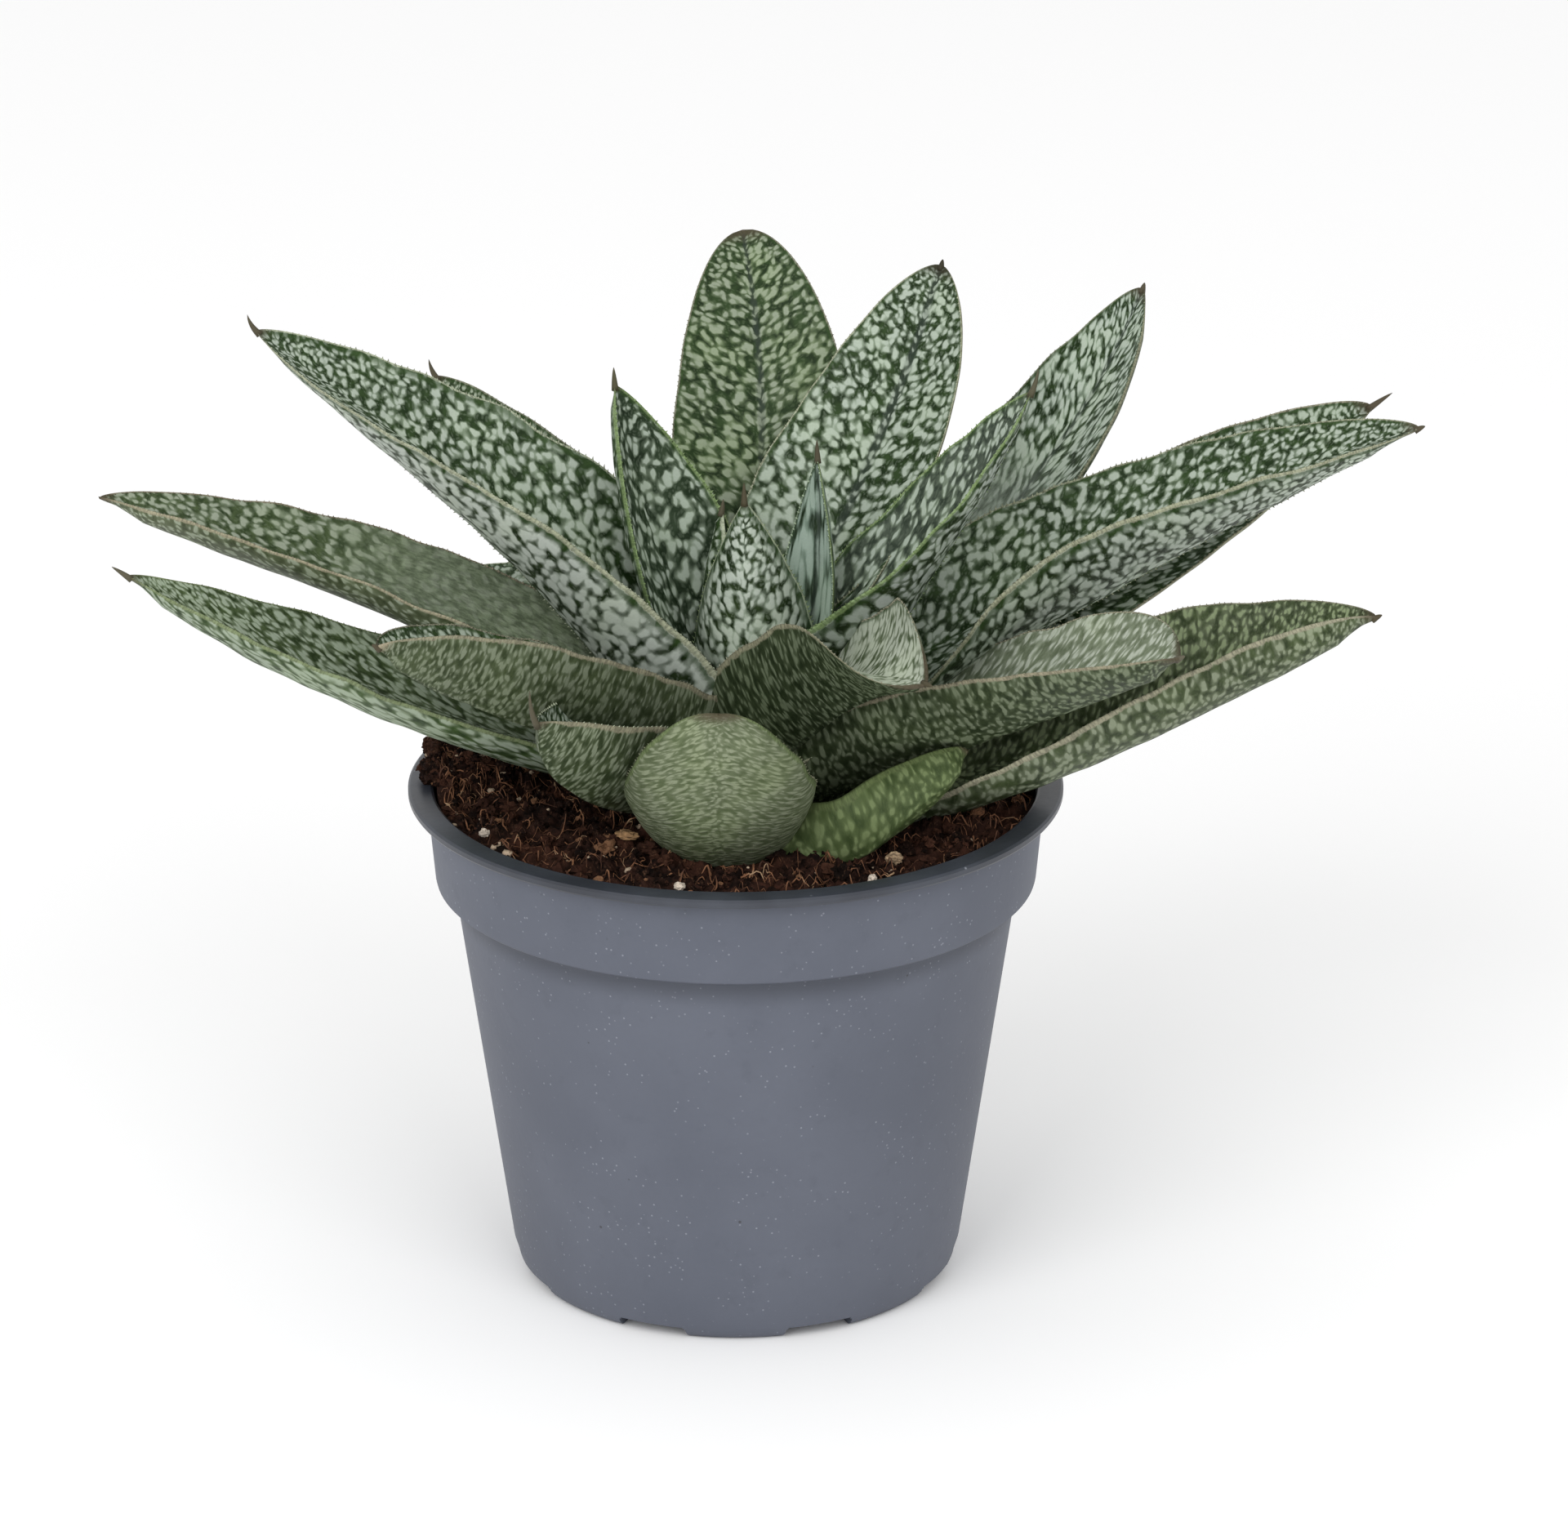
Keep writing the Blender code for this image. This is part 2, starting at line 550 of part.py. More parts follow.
def build_bit(name, place, size, turn, colour, parts):
    """A grain of perlite or a chip of bark that lies on the soil."""
    edit = bmesh.new()
    bmesh.ops.create_icosphere(edit, subdivisions=1, radius=0.5)
    bmesh.ops.scale(edit, verts=edit.verts, vec=tuple(side * MM for side in size))
    mesh = bpy.data.meshes.new(name)
    edit.to_mesh(mesh)
    edit.free()
    obj = add_object(name, mesh, parts)
    x, y = place
    under = max(soil_height(x + a, y + b) for a in (-1.5, 0, 1.5) for b in (-1.5, 0, 1.5))
    obj.location = (x * MM, y * MM, (under + size[2] / 2 + GAP) * MM)
    obj.rotation_euler[2] = math.radians(turn)
    mesh.materials.append(material(name + "_skin", colour, 0.9))


def main():
    clear_scene()
    parts = new_collection("potted_gasteria")
    cutters = new_collection("cutters")
    build_pot(parts, cutters)
    soil = build_soil(parts)
    stem = stem_body("stem_with_roots", 0.0, parts, cutters)
    stem.data.materials.append(material("stem_skin", (0.30, 0.26, 0.16), 0.7))
    stem_room = stem_body("stem_room", GAP, cutters, cutters)
    hide_cutter(stem_room)
    rooms = build_leaves(parts, cutters, stem_room)
    make_room_in_soil(soil, rooms)
    for name, place, size, turn, colour in BITS:
        build_bit(name, place, size, turn, colour, parts)


main()
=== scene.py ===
"""A potted gasteria in a plain studio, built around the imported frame.

Every leaf is lofted again along the same midrib as its solid, only finer, with a rounded margin, small
teeth and a spine, and gets its own pair of spotted skins. Pot, soil and grains are rebuilt the same way.
"""

import logging
from dataclasses import dataclass, replace
from enum import Enum
from math import atan2, cos, exp, hypot, pi, radians, sin

import bmesh
import bpy
import numpy as np
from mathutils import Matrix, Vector, noise


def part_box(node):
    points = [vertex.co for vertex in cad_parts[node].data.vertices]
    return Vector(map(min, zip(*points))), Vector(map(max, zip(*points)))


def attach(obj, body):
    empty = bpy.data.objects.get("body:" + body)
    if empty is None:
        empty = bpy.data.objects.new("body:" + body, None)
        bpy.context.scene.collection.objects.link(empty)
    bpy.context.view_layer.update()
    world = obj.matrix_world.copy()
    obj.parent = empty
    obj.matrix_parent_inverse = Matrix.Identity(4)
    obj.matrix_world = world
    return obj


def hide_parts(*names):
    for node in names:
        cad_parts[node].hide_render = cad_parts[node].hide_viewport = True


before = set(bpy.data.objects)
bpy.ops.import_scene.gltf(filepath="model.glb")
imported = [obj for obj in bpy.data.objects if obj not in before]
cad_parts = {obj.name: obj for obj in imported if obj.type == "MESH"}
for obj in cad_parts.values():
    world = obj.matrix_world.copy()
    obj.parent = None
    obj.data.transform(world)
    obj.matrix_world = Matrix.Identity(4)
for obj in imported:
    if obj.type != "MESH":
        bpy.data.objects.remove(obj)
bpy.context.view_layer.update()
LOG = logging.getLogger("gasteria")

MM = 0.001
BODY = "root"
Colour = tuple[float, float, float]
Point = tuple[float, float, float]


def paint(red: int, green: int, blue: int) -> Colour:
    """A named shade given in ordinary 0 to 255 screen steps, as linear light.

    Args:
        red: Red step.
        green: Green step.
        blue: Blue step.

    Returns:
        The linear colour.
    """
    steps = (red / 255, green / 255, blue / 255)
    return tuple(s / 12.92 if s < 0.04045 else ((s + 0.055) / 1.055) ** 2.4 for s in steps)


# Shader sums


class Value:
    """A node socket that takes part in Python expressions."""

    def __init__(self, tree: "Finish", socket: bpy.types.NodeSocket) -> None:
        """Keeps the socket and the node tree that it belongs to."""
        self.tree = tree
        self.socket = socket

    def math(self, operation: str, *others: "Value | float", first: "Value | float | None" = None) -> "Value":
        """Adds a Math node.

        Args:
            operation: The Math node's operation.
            others: The values after the first.
            first: What stands first, if it isn't this value.

        Returns:
            The result.
        """
        start = self if first is None else first
        values = {i: v for i, v in enumerate((start, *others))}
        return self.tree.node("ShaderNodeMath", {"operation": operation}, values)

    def __add__(self, other: "Value | float") -> "Value":
        """Sum."""
        return self.math("ADD", other)

    __radd__ = __add__

    def __mul__(self, other: "Value | float") -> "Value":
        """Product."""
        return self.math("MULTIPLY", other)

    __rmul__ = __mul__

    def __sub__(self, other: "Value | float") -> "Value":
        """Difference."""
        return self.math("SUBTRACT", other)

    def __rsub__(self, other: float) -> "Value":
        """Difference with the number first."""
        return self.math("SUBTRACT", self, first=other)

    def __truediv__(self, other: "Value | float") -> "Value":
        """Quotient."""
        return self.math("DIVIDE", other)

    def __abs__(self) -> "Value":
        """Size without sign."""
        return self.math("ABSOLUTE")

    def at_least(self, other: "Value | float") -> "Value":
        """The larger of the two."""
        return self.math("MAXIMUM", other)

    def at_most(self, other: "Value | float") -> "Value":
        """The smaller of the two."""
        return self.math("MINIMUM", other)

    def rise(self, low: "Value | float", high: "Value | float") -> "Value":
        """A soft step from 0 at low to 1 at high.

        Args:
            low: Where the step starts.
            high: Where the step ends.

        Returns:
            The mask.
        """
        settings = {"interpolation_type": "SMOOTHSTEP"}
        values = {"Value": self, "From Min": low, "From Max": high}
        return self.tree.node("ShaderNodeMapRange", settings, values)

    def fall(self, low: "Value | float", high: "Value | float") -> "Value":
        """A soft step from 1 at low to 0 at high."""
        return 1 - self.rise(low, high)


class Finish:
    """One material: its nodes, and the sums made from them."""

    def __init__(self, name: str) -> None:
        """Makes an empty material with a Principled shader.

        Args:
            name: The material's name.
        """
        self.material = bpy.data.materials.new(name)
        self.material.use_nodes = True
        self.nodes = self.material.node_tree.nodes
        self.shader = next(n for n in self.nodes if n.type == "BSDF_PRINCIPLED")

    def node(self, kind: str, settings: dict, values: dict, out: int | str = 0) -> Value:
        """Adds any node.

        Args:
            kind: The node's type.
            settings: Its own properties.
            values: Numbers, colours or links for its sockets, by name or place.
            out: Which output is wanted.

        Returns:
            The output.
        """
        made = self.nodes.new(kind)
        for key, setting in settings.items():
            setattr(made, key, setting)
        for key, value in values.items():
            self.plug(made.inputs[key], value)
        return Value(self, made.outputs[out])

    def plug(self, socket: bpy.types.NodeSocket, value: "Value | float | tuple") -> None:
        """Links a value to a socket, or sets the socket to it.

        Args:
            socket: The input.
            value: A link, a number, a vector or a colour.
        """
        if isinstance(value, Value):
            self.material.node_tree.links.new(value.socket, socket)
        elif isinstance(value, tuple) and socket.type == "RGBA":
            socket.default_value = (*value[:3], 1.0)
        else:
            socket.default_value = value

    def attribute(self, name: str) -> Value:
        """A vector stored in the mesh."""
        return self.node("ShaderNodeAttribute", {"attribute_name": name}, {}, "Vector")

    def place(self) -> Value:
        """The point in the object's own space, in metres."""
        return self.node("ShaderNodeTexCoord", {}, {}, "Object")

    def part(self, vector: Value, axis: int) -> Value:
        """One number of a vector."""
        return self.node("ShaderNodeSeparateXYZ", {}, {0: vector}, axis)

    def vector(self, x: "Value | float", y: "Value | float", z: "Value | float") -> Value:
        """A vector made of three numbers."""
        return self.node("ShaderNodeCombineXYZ", {}, {0: x, 1: y, 2: z})

    def scaled(self, vector: Value, by: tuple) -> Value:
        """A vector multiplied along each axis."""
        return self.node("ShaderNodeVectorMath", {"operation": "MULTIPLY"}, {0: vector, 1: by})

    def moved(self, vector: Value, by: "Value | tuple") -> Value:
        """A vector with another added to it."""
        return self.node("ShaderNodeVectorMath", {"operation": "ADD"}, {0: vector, 1: by})

    def cloud(self, at: Value, scale: float, detail: float = 2.0, rough: float = 0.5,
              out: str = "Fac") -> Value:
        """Soft noise around 0.5.

        Args:
            at: The place.
            scale: Waves to the unit of the place.
            detail: How many finer layers it has.
            rough: How strong those are.
            out: Fac, or Color for three numbers.

        Returns:
            The noise.
        """
        values = {"Vector": at, "Scale": scale, "Detail": detail, "Roughness": rough}
        return self.node("ShaderNodeTexNoise", {}, values, out)

    def cells(self, at: Value, scale: float, smooth: float, loose: float = 1.0, flat: bool = False) -> Value:
        """Distance to the nearest of many scattered centres.

        Args:
            at: The place.
            scale: Centres to the unit of the place.
            smooth: How far neighbouring cells melt together.
            loose: 1 for scattered centres, 0 for a grid.
            flat: Whether the centres lie in the plane of the first two numbers.

        Returns:
            The distance.
        """
        values = {"Vector": at, "Scale": scale, "Smoothness": smooth, "Randomness": loose}
        settings = {"feature": "SMOOTH_F1", "voronoi_dimensions": "2D" if flat else "3D"}
        return self.node("ShaderNodeTexVoronoi", settings, values, "Distance")

    def mix(self, share: "Value | float", first: "Value | Colour", second: "Value | Colour",
            how: str = "MIX") -> Value:
        """Two colours mixed.

        Args:
            share: How much of the second.
            first: The colour at 0.
            second: The colour at 1.
            how: The blending.

        Returns:
            The colour.
        """
        settings = {"data_type": "RGBA", "blend_type": how}
        return self.node("ShaderNodeMix", settings, {0: share, 6: first, 7: second}, 2)

    def shaded(self, colour: Value, by: Value) -> Value:
        """A colour made lighter or darker by a number."""
        grey = self.node("ShaderNodeCombineColor", {}, {0: by, 1: by, 2: by})
        return self.mix(1.0, colour, grey, "MULTIPLY")

    def dress(self, colour: Value, rough: Value, height: Value, depth: float,
              fixed: dict | None = None) -> None:
        """Plugs the finish into its shader.

        Args:
            colour: Base colour.
            rough: Roughness.
            height: Relief from 0 to 1.
            depth: What that relief amounts to, in metres.
            fixed: Constants for the shader's other sockets.
        """
        self.plug(self.shader.inputs["Base Color"], colour)
        self.plug(self.shader.inputs["Roughness"], rough)
        values = {"Height": height, "Distance": depth, "Strength": 1.0}
        bump = self.node("ShaderNodeBump", {}, values, "Normal")
        self.plug(self.shader.inputs["Normal"], bump)
        for key, value in (fixed or {}).items():
            self.plug(self.shader.inputs[key], value)


# Leaf skins


@dataclass(frozen=True)
class Skin:
    """One face of a leaf: flesh, pale spots, streak along the middle and a pale margin. Sizes in mm."""

    cell: tuple[float, float] = (1.6, 1.7)
    cover: float = 0.42
    soft: float = 0.17
    lean: float = 0.3
    loose: float = 0.85
    melt: float = 0.55
    patchy: float = 0.12
    low_cover: float = 0.0
    join: float = 0.6
    bow: float = 0.0
    flesh: Colour = paint(26, 42, 18)
    flesh_light: Colour = paint(46, 65, 34)
    spot: Colour = paint(160, 170, 157)
    spot_dim: Colour = paint(126, 139, 120)
    fine: float = 0.2
    streak: float = 0.0
    streak_shade: Colour = paint(44, 54, 46)
    margin: Colour = paint(176, 184, 158)
    margin_width: float = 0.32
    line: float = 0.4
    tip: Colour = paint(74, 66, 52)
    tip_from: float = 0.97
    wash: float = 0.0
    wash_shade: Colour = paint(128, 142, 118)
    wash_span: tuple[float, float] = (0.0, 0.35)
    sun: float = 0.12
    keel: float = 0.0
    relief: float = 0.12
    gloss: float = 0.42

    def make(self, name: str) -> bpy.types.Material:
        """Builds the skin's material.

        Args:
            name: The material's name.

        Returns:
            The material.
        """
        f = Finish(name)
        place, share = f.attribute("leaf_place"), f.attribute("leaf_share")
        across = f.part(place, 0)
        edge, length = f.part(share, 2), f.part(share, 1)
        coarse = f.cloud(place, 0.09, 2, 0.5)
        middle = f.cloud(place, 0.45, 3, 0.55)
        grain = f.cloud(place, 2.6, 3, 0.6)
        spots, core = self.spots(f, place, coarse, length)
        green = f.mix(middle.rise(0.35, 0.68), self.flesh, self.flesh_light)
        pale = f.mix((middle * 0.5 + core * 0.6).rise(0.25, 0.7), self.spot_dim, self.spot)
        colour = f.mix(spots, green, pale)
        if self.streak:
            wander = across + (middle - 0.5) * 1.6
            band = abs(wander).fall(self.streak * 0.25, self.streak)
            colour = f.mix(band * (0.8 - core * 0.5), colour, self.streak_shade)
        if self.wash:
            low, high = self.wash_span
            bare = length.rise(low - 0.06, low + 0.05) * length.fall(high - 0.1, high + 0.1)
            bare = (bare * (0.55 + coarse * 0.9)).at_most(1.0)
            streaky = f.cloud(f.scaled(place, (1.6, 0.5, 1.0)), 1.1, 3, 0.6)
            smooth = f.mix(streaky.rise(0.35, 0.65), tuple(c * 0.5 for c in self.wash_shade), self.wash_shade)
            colour = f.mix(bare * self.wash, colour, smooth)
        if self.sun:
            warm = f.mix(1.0, colour, paint(238, 255, 196), "MULTIPLY")
            colour = f.mix(coarse.rise(0.42, 0.68) * self.sun, colour, warm)
        if self.keel:
            ridge = (abs(across) + (middle - 0.5) * 0.8).fall(self.keel * 0.4, self.keel)
            flank = f.mix(grain.rise(0.45, 0.6), paint(62, 86, 42), paint(126, 146, 98))
            colour = f.mix(ridge * 0.7, colour, flank)
        colour = self.trim(f, colour, edge, length, middle, grain)
        colour = f.shaded(colour, 0.8 + coarse * 0.18 + grain * 0.22)
        height = spots * 0.5 + core * 0.25 + grain * 0.25 + middle * 0.2
        rough = self.gloss + grain * 0.12 + spots * 0.08
        f.dress(colour, rough, height, self.relief * MM, {"Specular IOR Level": 0.1})
        return f.material

    def spots(self, f: Finish, place: Value, coarse: Value, length: Value) -> tuple[Value, Value]:
        """Pale spots in rows that lean away from the midrib, large ones with finer ones between.

        Args:
            f: The material.
            place: The skin's own place: across, along and the leaf's number.
            coarse: Slow noise that makes spots denser in places.
            length: Share of the leaf's length.

        Returns:
            The whole mask and the mask of the brightest middles.
        """
        across, along, seed = (f.part(place, i) for i in range(3))
        rows = along - abs(across) * self.lean
        if self.bow:
            rows = along + across * across * self.bow
        wide, long = self.cell
        at = f.vector(across / wide + seed, rows / long + seed * 1.7, seed)
        bend = f.moved(f.cloud(at, 0.55, 2, 0.5, "Color"), (-0.5, -0.5, -0.5))
        curl = f.moved(f.cloud(at, 1.5, 1, 0.5, "Color"), (-0.5, -0.5, -0.5))
        at = f.moved(f.moved(at, f.scaled(bend, (1.5, 1.5, 0.0))), f.scaled(curl, (0.3, 0.3, 0.0)))
        far = f.cells(at, 1.0, self.melt, self.loose, True)
        joins = f.cloud(at, 1.05, 0, 0.5) - 0.5
        reach = self.cover + (coarse - 0.5) * self.patchy * 2 + joins * self.join
        if self.low_cover:
            reach = reach + length.fall(0.1, 0.6) * self.low_cover
        far = far + (f.cloud(at, 3.2, 2, 0.6) - 0.5) * 0.14
        whole = far.fall(reach - self.soft, reach + self.soft)
        core = far.fall(reach * 0.25, reach)
        if self.fine:
            small = f.cells(f.scaled(at, (2.3, 2.2, 1.0)), 1.0, 0.1, 1.0, True)
            whole = whole.at_least(small.fall(0.16, 0.42) * self.fine)
        return whole, core

    def trim(self, f: Finish, colour: Value, edge: Value, length: Value, middle: Value,
             grain: Value) -> Value:
        """The pale margin, the dark green line inside it, and the dry brown tip.

        Args:
            f: The material.
            colour: What is there so far.
            edge: Distance from the margin.
            length: Share of the leaf's length.
            middle: Noise.
            grain: Finer noise.

        Returns:
            The colour with them.
        """
        ragged = edge + (middle - 0.5) * 0.5 + (grain - 0.5) * 0.4
        wide = self.margin_width
        if self.line:
            inner = ragged.rise(wide * 0.7, wide * 1.1)
            inner = inner * ragged.fall(wide + self.line * 0.4, wide + self.line * 1.8)
            colour = f.mix(inner * 0.7, colour, f.mix(middle, paint(34, 54, 24), paint(56, 80, 38)))
        band = ragged.fall(wide * 0.5, wide * 1.1)
        dim = tuple(c * 0.6 for c in self.margin)
        colour = f.mix(band * 0.92, colour, f.mix(grain.rise(0.35, 0.62), dim, self.margin))
        dry = (length + (grain - 0.5) * 0.03).rise(self.tip_from, 1.0)
        return f.mix(dry * 0.9, colour, self.tip)


BOLD = Skin((1.6, 1.8), 0.41, 0.17, 0.4)
BLOTCHED = Skin((1.75, 1.95), 0.47, 0.17, 0.2, spot=paint(174, 183, 171), spot_dim=paint(140, 152, 136),
                melt=0.6, flesh=paint(28, 41, 20), flesh_light=paint(48, 62, 36))
ROWED = Skin((1.75, 1.45), 0.42, 0.17, 0.5, 0.8, spot=paint(154, 164, 146), spot_dim=paint(120, 133, 109),
             margin=paint(140, 142, 120), margin_width=0.28)
STREAKED = Skin((1.5, 2.1), 0.46, 0.19, 0.9, patchy=0.1, spot=paint(172, 183, 170),
                spot_dim=paint(144, 159, 141), margin=paint(134, 140, 114), margin_width=0.25)
OVALS = Skin((1.4, 2.2), 0.4, 0.16, 0.7, spot=paint(158, 169, 156), spot_dim=paint(118, 131, 113),
             flesh=paint(28, 42, 25), flesh_light=paint(50, 64, 46), margin=paint(142, 160, 112))
WAVED = Skin((1.6, 0.85), 0.42, 0.28, 0.35, spot=paint(112, 120, 100), spot_dim=paint(92, 101, 79),
             melt=0.6, flesh=paint(48, 58, 36), flesh_light=paint(66, 76, 51), fine=0.1, loose=1.0, join=0.9,
             margin=paint(138, 134, 112), margin_width=0.25, line=0.0, relief=0.1)
FLECKED = Skin((1.2, 1.8), 0.48, 0.2, 1.0, spot=paint(150, 162, 143), spot_dim=paint(122, 135, 111),
               fine=0.1, flesh=paint(42, 56, 31), flesh_light=paint(68, 83, 52),
               margin=paint(122, 134, 98), margin_width=0.28, line=0.0)
MOTTLED = Skin((1.6, 1.2), 0.4, 0.25, 0.4, spot=paint(128, 136, 114), spot_dim=paint(104, 113, 89), melt=0.6,
               flesh=paint(44, 54, 32), flesh_light=paint(66, 78, 49), fine=0.15,
               margin=paint(140, 140, 116), margin_width=0.28, line=0.0)
SHADED = Skin((1.5, 1.2), 0.38, 0.3, 0.2, spot=paint(104, 117, 80), spot_dim=paint(88, 101, 66), melt=0.6,
              flesh=paint(52, 65, 36), flesh_light=paint(66, 79, 46), fine=0.15, margin=paint(92, 105, 67),
              margin_width=0.25, line=0.0)


# Meshes


def as_object(name: str, points: np.ndarray, faces: list, materials: list,
              kinds: list | None = None) -> bpy.types.Object:
    """A smooth-shaded mesh object from points in millimetres.

    Args:
        name: The object's name.
        points: One row to a point.
        faces: Point numbers of each face.
        materials: Its materials.
        kinds: Which material each face takes.

    Returns:
        The object.
    """
    mesh = bpy.data.meshes.new(name)
    mesh.from_pydata((np.asarray(points) * MM).tolist(), [], faces)
    made = bpy.data.objects.new(name, mesh)
    bpy.context.scene.collection.objects.link(made)
    for material in materials:
        mesh.materials.append(material)
    mesh.polygons.foreach_set("use_smooth", [True] * len(mesh.polygons))
    if kinds is not None:
        mesh.polygons.foreach_set("material_index", kinds)
    mesh.update()
    return made


def store(mesh: bpy.types.Mesh, name: str, rows: np.ndarray) -> None:
    """Keeps a vector for each point of a mesh.

    Args:
        mesh: The mesh.
        name: The attribute's name.
        rows: One row of three numbers to a point.
    """
    layer = mesh.attributes.new(name, "FLOAT_VECTOR", "POINT")
    layer.data.foreach_set("vector", np.asarray(rows, np.float32).ravel())


def spread(values: tuple, t: np.ndarray) -> np.ndarray:
    """A smooth curve through values that stand at even steps.

    Args:
        values: The values.
        t: Where the curve is wanted, 0 to 1.

    Returns:
        The curve there.
    """
    values = np.asarray(values, float)
    if len(values) == 2:
        return values[0] + (values[1] - values[0]) * t
    place = t * (len(values) - 1)
    step = np.clip(place.astype(int), 0, len(values) - 2)
    f = place - step
    padded = np.concatenate(([2 * values[0] - values[1]], values, [2 * values[-1] - values[-2]]))
    a, b, c, d = (padded[step + k] for k in range(4))
    return 0.5 * (2 * b + (c - a) * f + (2 * a - 5 * b + 4 * c - d) * f**2 + (3 * b - a - 3 * c + d) * f**3)


def unit(vector: np.ndarray) -> np.ndarray:
    """The vector, or each row of vectors, at length 1."""
    return vector / np.maximum(np.linalg.norm(vector, axis=-1, keepdims=True), 1e-9)


def ring(radius: float, height: float, steps: int) -> list[Point]:
    """The points of a level circle round the pot's axis."""
    turns = [2 * pi * i / steps for i in range(steps)]
    return [(radius * cos(a), radius * sin(a), height) for a in turns]


def turned_by(angle: float) -> np.ndarray:
    """The matrix that turns rows of points about the upright axis."""
    return np.array(((cos(angle), sin(angle), 0), (-sin(angle), cos(angle), 0), (0, 0, 1)))


class Pile:
    """Many small closed meshes, gathered in one piece."""

    def __init__(self) -> None:
        """Starts with nothing in it."""
        self.points = []
        self.faces = []
        self.count = 0

    def add(self, points: np.ndarray, faces: list) -> None:
        """Adds one mesh.

        Args:
            points: Its points.
            faces: Its own point numbers.
        """
        self.points.append(points)
        self.faces += [tuple(self.count + int(i) for i in face) for face in faces]
        self.count += len(points)

    def build(self, name: str, finish: bpy.types.Material) -> bpy.types.Object:
        """Makes the piece."""
        return as_object(name, np.concatenate(self.points), self.faces, [finish])


# Where points stand between the midrib and the margin, closer together at the margin
LATTICE = (0, 0.1, 0.22, 0.35, 0.48, 0.6, 0.71, 0.81, 0.89, 0.94, 0.97, 0.987, 0.996, 1.0)


@dataclass
class Leaf:
    """One leaf: a V-folded, keeled loft along a curved midrib. Sizes in mm, angles in degrees."""

    name: str
    slot: str
    facing: float
    root: Point
    tip: Point
    width: float
    fold: tuple
    thick: tuple
    upper: Skin
    under: Skin
    arch: tuple = (0, 0)
    sway: tuple = (0, 0)
    roll: tuple = (0, 0)
    belly: float = 0.4
    neck: float = 0.7
    blunt: float = 0.65
    crease: float = 0.5
    keel: float = 0.3
    spine: float = 1.0
    hook: float = 0.0
    teeth: float = 0.3
    keel_teeth: float = 0.0
    number: int = 0
    rings: int = 84
    edge: float = 0.34
    upright_below: float = 8.0
    crease_round: float = 0.04
    keel_round: float = 0.05
    first_tooth: float = 4.0
    tooth_pitch: float = 0.7
    tooth_scatter: float = 0.55
    tooth_foot: tuple[float, float, float] = (0.26, 0.16, 0.25)
    spine_foot: float = 0.55
    spine_inset: float = 0.12
    spine_rings: int = 7
    spine_sides: int = 8

    def midrib(self, t: np.ndarray) -> tuple[np.ndarray, np.ndarray]:
        """Points and directions of the midrib.

        Args:
            t: Shares of the leaf's length.

        Returns:
            The points and the unit directions.
        """
        root, tip = np.array(self.root, float), np.array(self.tip, float)
        angle = radians(self.facing)
        chord = tip - root
        level = np.array((chord[0], chord[1], 0.0))
        upright = np.linalg.norm(level) < self.upright_below
        side = unit(np.cross((0, 0, 1), (cos(angle), sin(angle), 0) if upright else level))
        lift = np.cross(unit(chord), side)
        first = root + chord / 3 + 4 / 3 * (self.arch[0] * lift + self.sway[0] * side)
        second = root + 2 * chord / 3 + 4 / 3 * (self.arch[1] * lift + self.sway[1] * side)
        q = t[:, None]
        points = (1 - q) ** 3 * root + 3 * (1 - q) ** 2 * q * first + 3 * (1 - q) * q**2 * second + q**3 * tip
        along = 3 * (1 - q) ** 2 * (first - root) + 6 * (1 - q) * q * (second - first)
        return points, unit(along + 3 * q**2 * (tip - second))

    def lattice(self) -> tuple[np.ndarray, np.ndarray]:
        """The places across the section where points stand, once round.

        Returns:
            The signed share of the half width, and whether the point is on the upper face.
        """
        half = np.array(LATTICE)
        across = np.concatenate((-half[::-1], half[1:]))
        loop = np.concatenate((across, across[-2:0:-1]))
        upper = np.concatenate((np.ones(len(across), bool), np.zeros(len(across) - 2, bool)))
        return loop, upper

    def axes(self, t: np.ndarray, along: np.ndarray) -> tuple[np.ndarray, np.ndarray]:
        """Directions across the leaf and out of its upper face, turned by its roll.

        Args:
            t: Shares of the leaf's length.
            along: The midrib's directions.

        Returns:
            The unit directions to the left margin and upward.
        """
        angle = radians(self.facing)
        left = np.array((-sin(angle), cos(angle), 0.0))
        side = unit(left - (along @ left)[:, None] * along)
        up = np.cross(along, side)
        roll = np.radians(spread(self.roll, t))[:, None]
        return side * np.cos(roll) + up * np.sin(roll), up * np.cos(roll) - side * np.sin(roll)

    def outline(self, t: np.ndarray) -> np.ndarray:
        """The leaf's width along it, as a share of its largest.

        Args:
            t: Shares of the leaf's length.

        Returns:
            The shares.
        """
        rise = self.neck + (1 - self.neck) * np.sin(np.clip(t / self.belly, 0, 1) * pi / 2)
        fall = np.maximum(1 - np.clip((t - self.belly) / (1 - self.belly), 0, 1) ** 2, 0) ** self.blunt
        return np.where(t < self.belly, rise, fall)

    def section(self, u: np.ndarray, fold: np.ndarray) -> tuple[np.ndarray, np.ndarray]:
        """The upper face's V, for a half width of 1.

        Args:
            u: Signed shares of the half width.
            fold: The fold of each ring, in radians.

        Returns:
            How far each point stands out sideways and upward.
        """
        soft = self.crease_round
        reach = (np.sqrt(u**2 + soft**2) - soft) / ((1 + soft**2) ** 0.5 - soft)
        f = fold[:, None]
        flat = self.crease * reach * np.cos(f) + (1 - self.crease) * np.sin(2 * f * reach) / (2 * f)
        high = self.crease * reach * np.sin(f) + (1 - self.crease) * (1 - np.cos(2 * f * reach)) / (2 * f)
        return flat * np.sign(u), high

